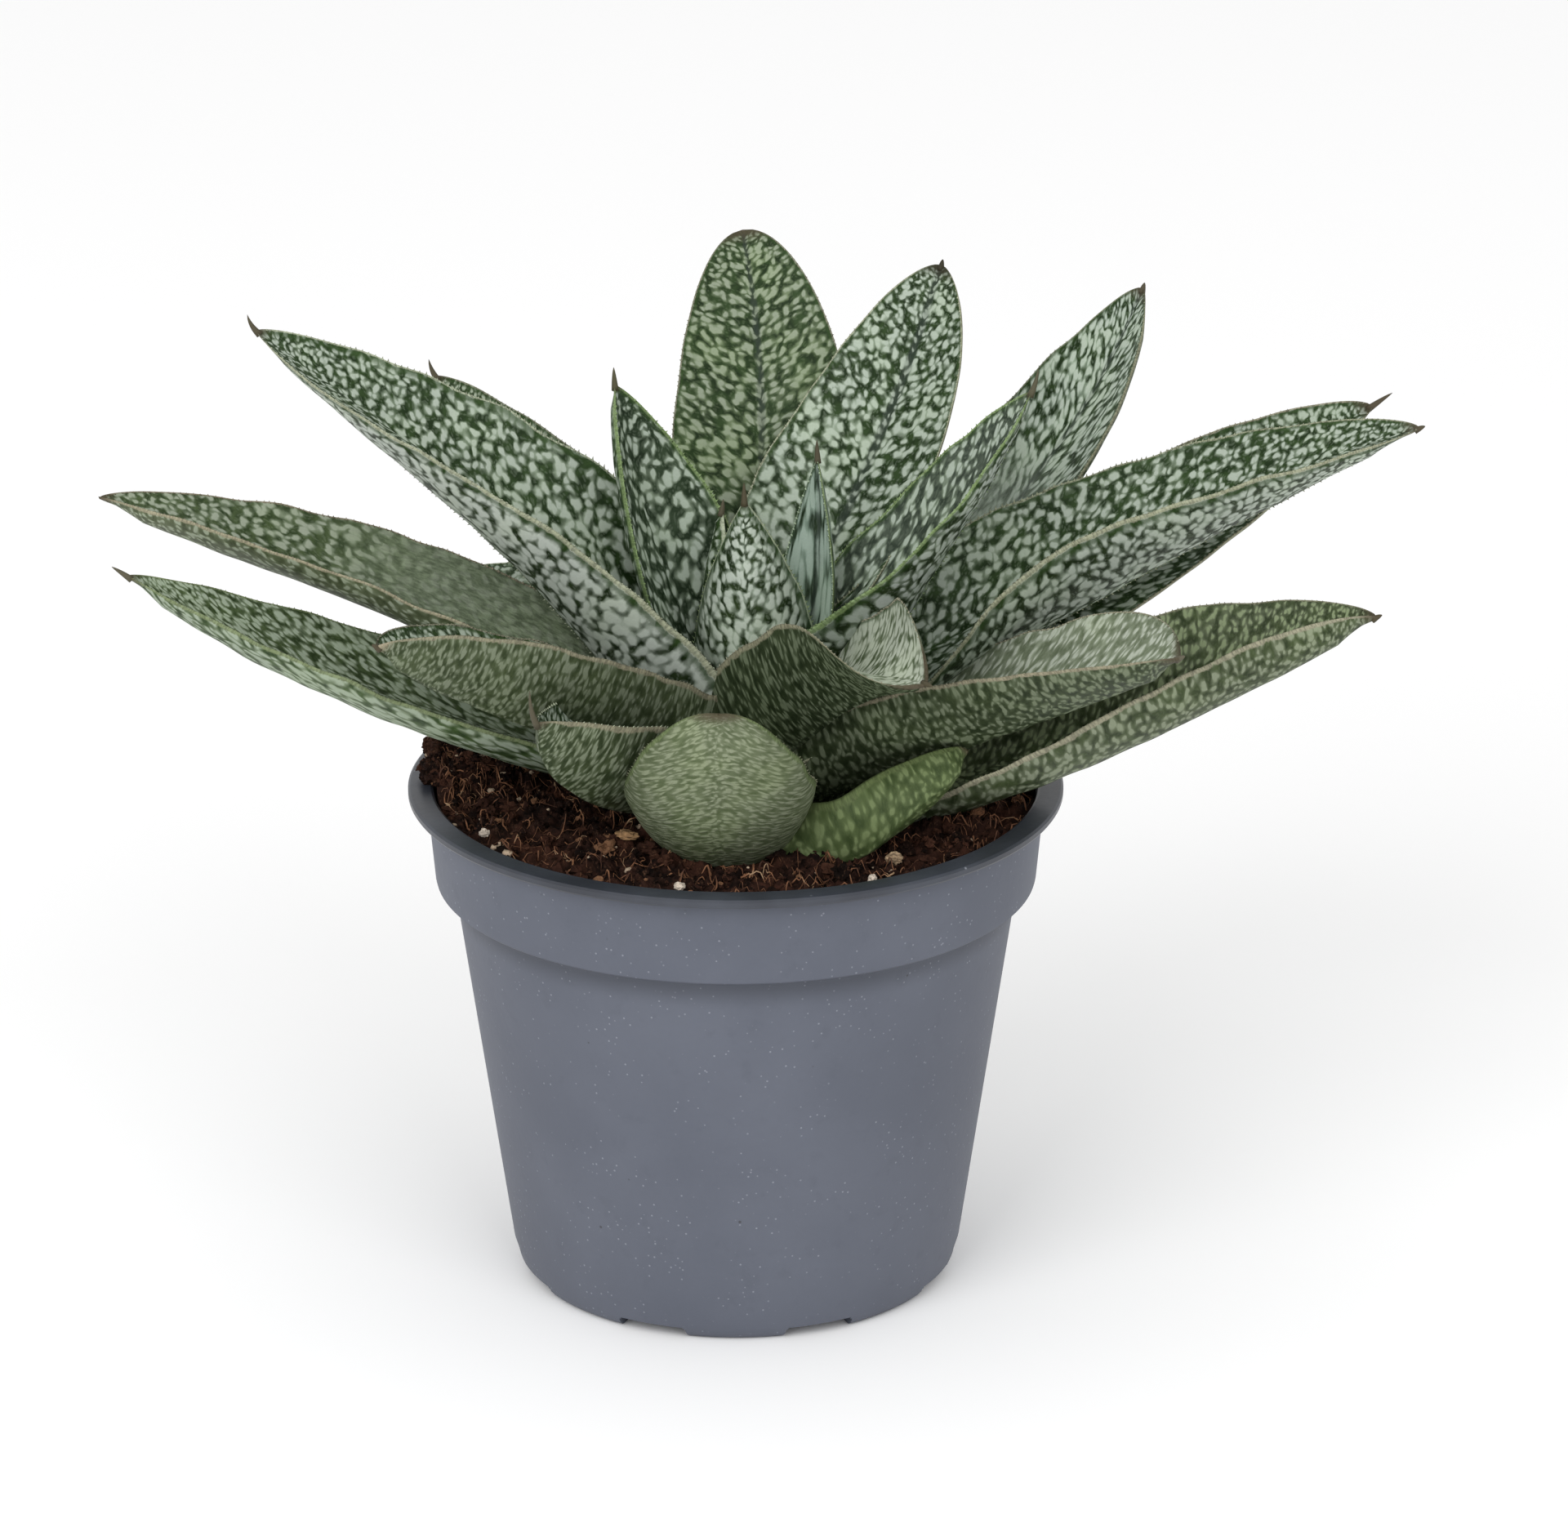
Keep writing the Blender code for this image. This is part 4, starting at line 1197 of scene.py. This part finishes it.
    def set_edges(self, pot: bpy.types.Object) -> None:
        """Gives the lip its own finish and keeps cut corners crisp.

        Args:
            pot: The pot.
        """
        edit = bmesh.new()
        edit.from_mesh(pot.data)
        for edge in edit.edges:
            if len(edge.link_faces) == 2:
                edge.smooth = edge.calc_face_angle(0) < radians(27)
        for face in edit.faces:
            middle = face.calc_center_median()
            face.smooth = True
            outside = middle.xy.length > self.lip_inside * MM
            face.material_index = int(middle.z > (self.height - self.lip_height) * MM and outside)
        edit.to_mesh(pot.data)
        edit.free()

    def plastic(self) -> bpy.types.Material:
        """Matte slate plastic with fine pale and dark specks, faint clouds and shade under the collar.

        Returns:
            The material.
        """
        f = Finish("pot_plastic_fine")
        at = f.place()
        slow, fine, dust = f.cloud(at, 34, 3, 0.55), f.cloud(at, 900, 3, 0.6), f.cloud(at, 260, 3, 0.6)
        streaks = f.cloud(f.scaled(at, (1.0, 1.0, 0.16)), 150, 3, 0.6)
        body = f.mix(slow.rise(0.3, 0.7), paint(82, 86, 97), paint(89, 93, 104))
        body = f.mix(dust.rise(0.55, 0.75) * 0.3, body, paint(76, 80, 90))
        pale = f.cells(at, 800, 0.0).fall(0.08, 0.17) * f.cloud(at, 130, 2).rise(0.4, 0.55)
        large = f.cells(f.moved(at, (0.3, 0.1, 0.7)), 320, 0.0).fall(0.02, 0.045)
        large = large * f.cloud(at, 160, 2).rise(0.5, 0.6)
        high = f.part(at, 2)
        # Painted shade: a darker band on the body just under the collar step, where the collar shades it.
        painted_collar_shade = high.rise((self.collar_height - 6) * MM, (self.collar_height - 1.8) * MM)
        painted_collar_shade = painted_collar_shade * high.fall((self.collar_height - 0.2) * MM, (self.collar_height + 0.2) * MM)
        dark = f.cells(f.moved(at, (0.5, 0.2, 0.1)), 210, 0.0).fall(0.03, 0.07)
        dark = dark * f.cloud(at, 70, 2).rise(0.52, 0.58)
        body = f.mix((pale * 0.24 + large * 0.3).at_most(1.0), body, paint(188, 192, 202))
        body = f.mix(dark * 0.7, body, paint(48, 46, 46))
        # Fine tone variation, times the painted shade under the collar.
        body = f.shaded(body, (0.97 + fine * 0.1) * (1 - painted_collar_shade * 0.3))
        rough = 0.46 + fine * 0.1 + slow * 0.08 + streaks * 0.04
        f.dress(body, rough, fine * 0.5 + streaks * 0.3 + pale * 0.6, 0.05 * MM, {"Specular IOR Level": 0.35})
        return f.material

    def lip(self) -> bpy.types.Material:
        """Darker, smoother plastic of the rolled lip.

        Returns:
            The material.
        """
        f = Finish("pot_lip_fine")
        at = f.place()
        slow, fine = f.cloud(at, 60, 3, 0.55), f.cloud(at, 700, 3, 0.6)
        body = f.mix(slow.rise(0.35, 0.65), paint(42, 45, 53), paint(56, 60, 69))
        chips = f.cells(at, 300, 0.0).fall(0.04, 0.1) * f.cloud(at, 60, 2).rise(0.55, 0.62)
        body = f.mix(chips * 0.6, body, paint(180, 184, 194))
        f.dress(body, 0.28 + slow * 0.14 + fine * 0.06, fine * 0.6 + slow * 0.4, 0.05 * MM)
        return f.material


# Soil


@dataclass
class Soil:
    """Peat with fibres, crumbs and grit, heaped above the rim on the left. Sizes in mm."""

    level: float = 80.3
    crown: float = 1.2
    heap: tuple[float, float] = (-45.5, 5.0)
    heap_height: float = 8.5
    heap_spread: float = 9.5
    hollow: float = 6.0
    hollow_spread: float = 20.0
    radius: float = 47.9
    around: int = 300
    across: int = 96
    crumbs: int = 2400
    clumps: int = 460
    threads: int = 1300
    grains: int = 150
    crumb_size: tuple[float, float] = (0.28, 0.6)
    clump_size: tuple[float, float] = (0.7, 0.9)
    crumb_seed: int = 11
    clump_seed: int = 17
    fibre_seed: int = 23
    grit_seed: int = 37
    skirt: tuple = ((47.9, 78.0), (46.7, 68.5), (43.5, 66.3), (34.6, 6.4), (32.0, 3.7))
    spill_from: float = 83.2

    def height(self, x: float, y: float) -> float:
        """The soil's height at a place, without its small lumps.

        Args:
            x: The place.
            y: The place.

        Returns:
            The height.
        """
        r, away = hypot(x, y), hypot(x - self.heap[0], y - self.heap[1])
        rise = self.crown * (1 - (r / 49.5) ** 2) + self.heap_height * exp(-((away / self.heap_spread) ** 2))
        dip = self.hollow * exp(-((r / self.hollow_spread) ** 4))
        return self.level + rise - dip + 0.35 * sin(0.31 * x + 1) * cos(0.27 * y - 0.4)

    def lumpy(self, x: float, y: float) -> float:
        """The soil's height with its lumps.

        Args:
            x: The place.
            y: The place.

        Returns:
            The height.
        """
        fade = min(1.0, max(0.0, (self.radius - hypot(x, y)) / 2.5)) * 0.75 + 0.25
        lumps = noise.fractal(Vector((x * 0.24, y * 0.24, 3.1)), 0.8, 2.1, 4) * 1.7
        ridge = abs(noise.noise(Vector((x * 0.7, y * 0.7, 9.4)))) * 2.4
        fine = noise.fractal(Vector((x * 1.5, y * 1.5, 1.7)), 0.9, 2.0, 3) * 0.8
        return self.height(x, y) + (lumps + ridge + fine - 1.1) * fade

    def ground(self) -> bpy.types.Object:
        """The body of the soil, a lumpy disc closed underneath down the pot's wall.

        Returns:
            The body.
        """
        points = [(0, 0, self.lumpy(0, 0))]
        for k in range(1, self.across + 1):
            r = self.radius * (k / self.across) ** 0.8
            for i in range(self.around):
                a = 2 * pi * i / self.around
                x, y = r * cos(a), r * sin(a)
                points.append((x, y, self.lumpy(x, y)))
        for r, z in self.skirt:
            points += ring(r, z, self.around)
        points.append((0, 0, self.skirt[-1][1]))
        faces, rows = [], self.across + len(self.skirt)
        for i in range(self.around):
            n = (i + 1) % self.around
            faces.append((0, 1 + i, 1 + n))
            for k in range(rows - 1):
                a, b = 1 + k * self.around, 1 + (k + 1) * self.around
                faces.append((a + i, b + i, b + n, a + n))
            last = 1 + (rows - 1) * self.around
            faces.append((last + n, last + i, len(points) - 1))
        ground = as_object("soil_ground", np.array(points), faces, [self.peat("peat_fine")])
        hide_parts("soil")
        return ground

    def scatter(self, rng: np.random.Generator, heaped: float) -> Point:
        """A place on the soil, more often at its edge and on its heap, whose flank hangs over the rim.

        Args:
            rng: The random numbers.
            heaped: The share of places that lie on the heap.

        Returns:
            The place.
        """
        middle = atan2(self.heap[1], self.heap[0])
        while True:
            if rng.random() < heaped * 0.45:
                a, r = middle + rng.normal() * 0.15, self.radius - 0.6 + 2.6 * rng.random()
                x, y = r * cos(a), r * sin(a)
                top = self.height(x, y)
                if top > self.spill_from + 0.2:
                    return x, y, self.spill_from + (top - self.spill_from) * rng.random()
                continue
            if rng.random() < heaped:
                x, y = self.heap[0] + rng.normal() * 6, self.heap[1] + rng.normal() * 8
            else:
                r, a = self.radius * rng.random() ** 0.45, 2 * pi * rng.random()
                x, y = r * cos(a), r * sin(a)
            if 8 < hypot(x, y) < self.radius - 0.7:
                return x, y, self.lumpy(x, y)

    def lumps(self, name: str, count: int, small: float, large: float, steps: int,
              seed: int) -> bpy.types.Object:
        """Rough crumbs of one size range that lie on the soil, joined in one piece.

        Args:
            name: The piece's name.
            count: How many.
            small: The smallest half size.
            large: How much larger the largest is.
            steps: How finely each is divided.
            seed: Start of the random numbers.

        Returns:
            The piece.
        """
        rng = np.random.default_rng(seed)
        pile, tones = Pile(), []
        for n in range(count):
            x, y, z = self.scatter(rng, 0.3)
            size = small + large * rng.random() ** 2.4
            ball = (size, size * (0.55 + 0.5 * rng.random()), size * (0.5 + 0.4 * rng.random()))
            shape, skin = Stone(ball, 0.8, steps, seed=float(n + seed)).shape()
            shape = shape @ turned_by(2 * pi * rng.random())
            pile.add(shape + (x, y, z + size * (0.35 * rng.random() - 0.05)), skin)
            tones.append(np.full((len(shape), 3), rng.random()))
        made = pile.build(name, self.peat(f"{name}_finish", True))
        store(made.data, "tone", np.concatenate(tones))
        made.data.polygons.foreach_set("use_smooth", [False] * len(made.data.polygons))
        return made

    def fibres(self) -> bpy.types.Object:
        """Thin bent fibres of the peat, joined in one piece.

        Returns:
            The piece.
        """
        rng = np.random.default_rng(self.fibre_seed)
        pile = Pile()
        for _ in range(self.threads):
            x, y, z = self.scatter(rng, 0.3)
            heading, bend = 2 * pi * rng.random(), rng.normal() * 2.2
            length, radius = 1.4 + 4.0 * rng.random() ** 1.7, 0.05 + 0.15 * rng.random() ** 2
            arc, lift = 0.2 + 1.5 * rng.random(), z - self.lumpy(x, y)
            path = []
            for k in range(8):
                s = k / 7
                a = heading + bend * s
                x2, y2 = x + length * s * cos(a), y + length * s * sin(a)
                if hypot(x2, y2) > self.radius - 0.4:
                    break
                z2 = self.lumpy(x2, y2) + lift - 0.15 + arc * sin(pi * s) + 0.12 * sin(9 * s + x)
                path.append((x2, y2, z2))
            if len(path) >= 4:
                pile.add(*self.tube(np.array(path), radius))
        return pile.build("soil_fibres", self.fibre())

    def tube(self, path: np.ndarray, radius: float) -> tuple[np.ndarray, list]:
        """A thin closed tube along a path.

        Args:
            path: Its points.
            radius: Its radius.

        Returns:
            Points and faces.
        """
        along = unit(np.gradient(path, axis=0))
        side = unit(np.cross(along, (0.0, 0.0, 1.0)))
        up = np.cross(side, along)
        points, faces, sides = [], [], 4
        for k, p in enumerate(path):
            r = radius * (1 - 0.6 * (k / (len(path) - 1)) ** 2)
            turns = [2 * pi * j / sides for j in range(sides)]
            points += [p + r * (side[k] * cos(a) + up[k] * sin(a)) for a in turns]
        for k in range(len(path) - 1):
            for j in range(sides):
                n = (j + 1) % sides
                faces.append((k * sides + n, k * sides + j, (k + 1) * sides + j, (k + 1) * sides + n))
        last = (len(path) - 1) * sides
        faces += [(0, 1, 2, 3), (last + 3, last + 2, last + 1, last)]
        return np.array(points), faces

    def grit(self) -> bpy.types.Object:
        """Small pale grains of the mix, joined in one piece.

        Returns:
            The piece.
        """
        rng = np.random.default_rng(self.grit_seed)
        pile = Pile()
        for n in range(self.grains):
            x, y, z = self.scatter(rng, 0.12)
            size = 0.22 + 0.65 * rng.random() ** 2.5
            shape, skin = Stone((size, size * 0.85, size * 0.75), 0.45, 2, seed=50.0 + n).shape()
            pile.add(shape + (x, y, z + size * 0.45), skin)
        return pile.build("soil_grit", grain_finish("grit_fine", paint(190, 168, 144)))

    def peat(self, name: str, loose: bool = False) -> bpy.types.Material:
        """Dark brown peat with reddish lumps and tan flecks.

        Args:
            name: The material's name.
            loose: Whether it is for crumbs, which have a tone each.

        Returns:
            The material.
        """
        f = Finish(name)
        at = f.place()
        slow, lump, fine = f.cloud(at, 90, 3, 0.6), f.cloud(at, 420, 4, 0.65), f.cloud(at, 1500, 3, 0.6)
        fibre = f.cloud(f.scaled(at, (1.0, 0.25, 1.0)), 1500, 3, 0.7)
        body = f.mix(lump.rise(0.38, 0.66), paint(18, 9, 6), paint(52, 32, 25))
        body = f.mix(slow.rise(0.48, 0.7) * 0.6, body, paint(76, 46, 34))
        if loose:
            tone = f.part(f.attribute("tone"), 0)
            body = f.mix(tone.rise(0.45, 0.9) * 0.7, body, paint(74, 47, 35))
            body = f.mix(tone.rise(0.93, 0.96) * 0.8, body, paint(136, 100, 74))
            body = f.mix(tone.fall(0.15, 0.45) * 0.8, body, paint(14, 7, 5))
        body = f.mix(fibre.rise(0.56, 0.72) * 0.55, body, paint(100, 72, 55))
        body = f.shaded(body, 0.5 + fine * 0.75)
        f.dress(body, 0.85 + fine * 0.12, lump * 0.5 + fine * 0.5, 0.5 * MM, {"Specular IOR Level": 0.1})
        return f.material

    def fibre(self) -> bpy.types.Material:
        """Reddish-brown and tan fibres.

        Returns:
            The material.
        """
        f = Finish("peat_fibre")
        at = f.place()
        slow, fine = f.cloud(at, 200, 3, 0.6), f.cloud(at, 1600, 3, 0.6)
        body = f.mix(slow.rise(0.38, 0.58), paint(66, 40, 28), paint(126, 86, 60))
        body = f.mix(slow.rise(0.58, 0.66), body, paint(168, 138, 108))
        body = f.shaded(body, 0.75 + fine * 0.5)
        f.dress(body, 0.65 + fine * 0.2, fine, 0.05 * MM, {"Specular IOR Level": 0.3})
        return f.material

    def build(self) -> list[bpy.types.Object]:
        """Makes the soil's pieces.

        Returns:
            The pieces.
        """
        made = [self.ground(), self.lumps("soil_crumbs", self.crumbs, *self.crumb_size, 2, self.crumb_seed)]
        made.append(self.lumps("soil_clumps", self.clumps, *self.clump_size, 3, self.clump_seed))
        made += [self.fibres(), self.grit()]
        for piece in made:
            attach(piece, BODY)
        return made


# Grains and chips


def grain_finish(name: str, shade: Colour) -> bpy.types.Material:
    """Chalky, pitted mineral grain.

    Args:
        name: The material's name.
        shade: Its lighter colour.

    Returns:
        The material.
    """
    f = Finish(name)
    at = f.place()
    slow, fine = f.cloud(at, 500, 3, 0.6), f.cloud(at, 2600, 3, 0.65)
    pits = f.cells(at, 2200, 0.2).fall(0.15, 0.4)
    dim = tuple(c * 0.55 for c in shade)
    body = f.mix(slow.rise(0.35, 0.65), dim, shade)
    body = f.mix(pits * 0.45, body, paint(84, 60, 42))
    f.dress(f.shaded(body, 0.8 + fine * 0.4), 0.8 + fine * 0.15, fine * 0.6 + (1 - pits) * 0.4, 0.12 * MM,
            {"Specular IOR Level": 0.25})
    return f.material


def bark_finish(name: str, shade: Colour) -> bpy.types.Material:
    """Layered bark or wood chip.

    Args:
        name: The material's name.
        shade: Its lighter colour.

    Returns:
        The material.
    """
    f = Finish(name)
    at = f.place()
    grain = f.cloud(f.scaled(at, (0.35, 1.0, 1.6)), 1400, 4, 0.65)
    slow = f.cloud(at, 380, 3, 0.6)
    dim = tuple(c * 0.3 for c in shade)
    body = f.mix(grain.rise(0.35, 0.68), dim, shade)
    body = f.mix(slow.rise(0.55, 0.75) * 0.5, body, paint(58, 38, 26))
    f.dress(body, 0.75 + grain * 0.2, grain * 0.7 + slow * 0.3, 0.25 * MM, {"Specular IOR Level": 0.25})
    return f.material


@dataclass
class Stone:
    """An irregular lump: a ball pushed in and out by noise. Half sizes in mm."""

    size: Point
    rough: float = 0.3
    subdivisions: int = 4
    seed: float = 0.0
    flat_layers: float = 0.0

    def shape(self) -> tuple[np.ndarray, list]:
        """The lump around the origin.

        Returns:
            Points and faces.
        """
        edit = bmesh.new()
        bmesh.ops.create_icosphere(edit, subdivisions=self.subdivisions, radius=1.0)
        shift = Vector((self.seed * 1.7, self.seed * 0.9, 4.0))
        points = []
        for vert in edit.verts:
            push = noise.fractal(vert.co * 1.3 + shift, 0.8, 2.0, 4) * self.rough
            push += noise.noise(vert.co * 3.1 + shift) * self.rough * 0.4
            ball = vert.co * (1 + push)
            layer = self.flat_layers * sin(ball.z * 9 + 2 * noise.noise(ball * 2 + shift))
            points.append((ball.x * (1 + layer), ball.y * (1 + layer), ball.z))
        faces = [tuple(v.index for v in face.verts) for face in edit.faces]
        edit.free()
        return np.array(points) * np.array(self.size), faces


@dataclass
class Bit:
    """A grain or chip that lies on the soil in place of its solid."""

    node: str
    slot: Slot
    turn: float
    shade: Colour
    rough: float = 0.3
    layers: float = 0.0

    def build(self, number: int) -> bpy.types.Object:
        """Makes the bit inside its solid's box.

        Args:
            number: Its own number, for its shape.

        Returns:
            The bit.
        """
        low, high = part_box(self.node)
        centre, half = (low + high) / 2 / MM, (high - low) / 2 / MM
        a = radians(self.turn)
        shape, faces = Stone((1, 1, 1), self.rough, 5, number * 3.3, self.layers).shape()
        stretch = self.long_sides(half, a)
        shape = shape / np.abs(shape).max(0) * stretch
        shape = shape @ turned_by(a)
        shape = shape / np.maximum(np.abs(shape).max(0) / np.array(half), 1)
        if self.slot is Slot.BARK:
            finish = bark_finish(f"{self.node}_finish", self.shade)
        else:
            finish = grain_finish(f"{self.node}_finish", self.shade)
        made = as_object(f"{self.node}_fine", shape + np.array(centre), faces, [finish])
        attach(made, BODY)
        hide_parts(self.node)
        return made

    def long_sides(self, half: Vector, angle: float) -> np.ndarray:
        """Half sizes along the bit's own axes, from its box and its turn.

        Args:
            half: Half sizes of the box.
            angle: The turn, in radians.

        Returns:
            The half sizes.
        """
        c, s = cos(angle) ** 2, sin(angle) ** 2
        if abs(c - s) < 0.2:
            return np.array((half.x * 1.1, half.x * 0.6, half.z))
        long, short = (half.x * c - half.y * s) / (c - s), (half.y * c - half.x * s) / (c - s)
        return np.array((max(long, 0.5), max(short, 0.5), half.z))


def bits() -> list[Bit]:
    """The grains and chips that the photograph shows apart from the soil.

    Returns:
        The bits.
    """
    white, clay = paint(214, 200, 184), paint(176, 150, 120)
    return [
        Bit("perlite_front", Slot.PERLITE, 20, white),
        Bit("perlite_front_right", Slot.PERLITE, 70, white),
        Bit("perlite_left", Slot.PERLITE, 0, white),
        Bit("bark_front_left", Slot.BARK, -35, paint(168, 132, 94), 0.25, 0.08),
        Bit("bark_front_right", Slot.BARK, 15, clay, 0.35),
        Bit("bark_right", Slot.BARK, 60, paint(122, 84, 58), 0.25, 0.08),
    ]


@dataclass
class Stem:
    """The stem and roots, whose solid is kept and only gets a better finish."""

    node: str = "stem_with_roots"

    def dress(self) -> None:
        """Gives the solid a pale fleshy skin."""
        f = Finish("stem_skin_fine")
        at = f.place()
        slow, fine = f.cloud(at, 160, 3, 0.6), f.cloud(f.scaled(at, (1, 1, 3)), 900, 3, 0.6)
        body = f.mix(slow.rise(0.35, 0.65), paint(120, 104, 74), paint(164, 148, 112))
        body = f.mix(fine.rise(0.55, 0.7) * 0.5, body, paint(84, 62, 42))
        f.dress(body, 0.6 + fine * 0.2, fine * 0.6 + slow * 0.4, 0.2 * MM)
        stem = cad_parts[self.node]
        for place in stem.material_slots:
            place.material = f.material


# Studio


@dataclass
class Studio:
    """Pale floor, soft light and the camera."""

    lens: float = 186.34
    camera_place: Point = (0.00773, -1.2162, 0.5443)
    camera_tilt: float = 69.31
    sky: float = 0.83
    key: float = 19.0
    fill: float = 12.0
    floor_shade: float = 0.97
    floor_radius: float = 9.0
    key_place: Point = (-0.95, -1.5, 1.2)
    fill_place: Point = (0.85, -1.6, 1.25)
    lamp_side: float = 1.3
    look_at: Point = (0, 0, 0.1)

    def floor(self) -> None:
        """The whole floor, one wide plain pale disc."""
        edit = bmesh.new()
        bmesh.ops.create_circle(edit, cap_ends=True, segments=96, radius=self.floor_radius)
        mesh = bpy.data.meshes.new("studio_floor")
        edit.to_mesh(mesh)
        edit.free()
        floor = bpy.data.objects.new("studio_floor", mesh)
        bpy.context.scene.collection.objects.link(floor)
        f = Finish("studio_floor_paint")
        at = f.place()
        slow = f.cloud(at, 3, 2, 0.5)
        pale = (self.floor_shade,) * 3
        f.dress(f.mix(slow, pale, tuple(c * 0.99 for c in pale)), 0.8 + slow * 0.1, slow, 0.05 * MM,
                {"Specular IOR Level": 0.1})
        mesh.materials.append(f.material)

    def camera(self) -> None:
        """The camera, where the photograph's was."""
        data = bpy.data.cameras.new("studio_camera")
        data.lens = self.lens
        data.sensor_width = 36.0
        data.clip_start = 0.05
        data.clip_end = 60.0
        camera = bpy.data.objects.new("studio_camera", data)
        camera.location = self.camera_place
        camera.rotation_euler = (radians(self.camera_tilt), 0, 0)
        bpy.context.scene.collection.objects.link(camera)
        bpy.context.scene.camera = camera

    def lamp(self, name: str, place: Point, power: float) -> None:
        """One large soft lamp that looks at the plant.

        Args:
            name: The lamp's name.
            place: Where it stands, in metres.
            power: Its power in watts.
        """
        data = bpy.data.lights.new(name, "AREA")
        data.shape = "SQUARE"
        data.size = self.lamp_side
        data.energy = power
        lamp = bpy.data.objects.new(name, data)
        lamp.location = place
        lamp.rotation_euler = (Vector(self.look_at) - Vector(place)).to_track_quat("-Z", "Y").to_euler()
        bpy.context.scene.collection.objects.link(lamp)

    def build(self) -> None:
        """Sets up the floor, the light, the colour handling and the camera."""
        scene = bpy.context.scene
        self.floor()
        world = bpy.data.worlds.new("studio_sky")
        world.use_nodes = True
        sky = next(n for n in world.node_tree.nodes if n.type == "BACKGROUND")
        sky.inputs["Color"].default_value = (1.0, 1.0, 1.0, 1.0)
        sky.inputs["Strength"].default_value = self.sky
        scene.world = world
        self.lamp("key_lamp", self.key_place, self.key)
        self.lamp("fill_lamp", self.fill_place, self.fill)
        scene.view_settings.view_transform = "Standard"
        scene.view_settings.look = "None"
        scene.view_settings.exposure = 0.0
        self.camera()


def main() -> None:
    """Builds every piece in order and reports it."""
    logging.basicConfig(level=logging.INFO, format="%(message)s")
    Studio().build()
    pieces = [Pot().build()] + Soil().build()
    pieces += [leaf.build() for leaf in leaves()]
    pieces += [bit.build(number + 1) for number, bit in enumerate(bits())]
    Stem().dress()
    for piece in pieces:
        LOG.info("%s: %d faces", piece.name, len(piece.data.polygons))
    LOG.info("triangles: %d", sum(len(p.vertices) - 2 for piece in pieces for p in piece.data.polygons))


if __name__ == "__main__":
    main()
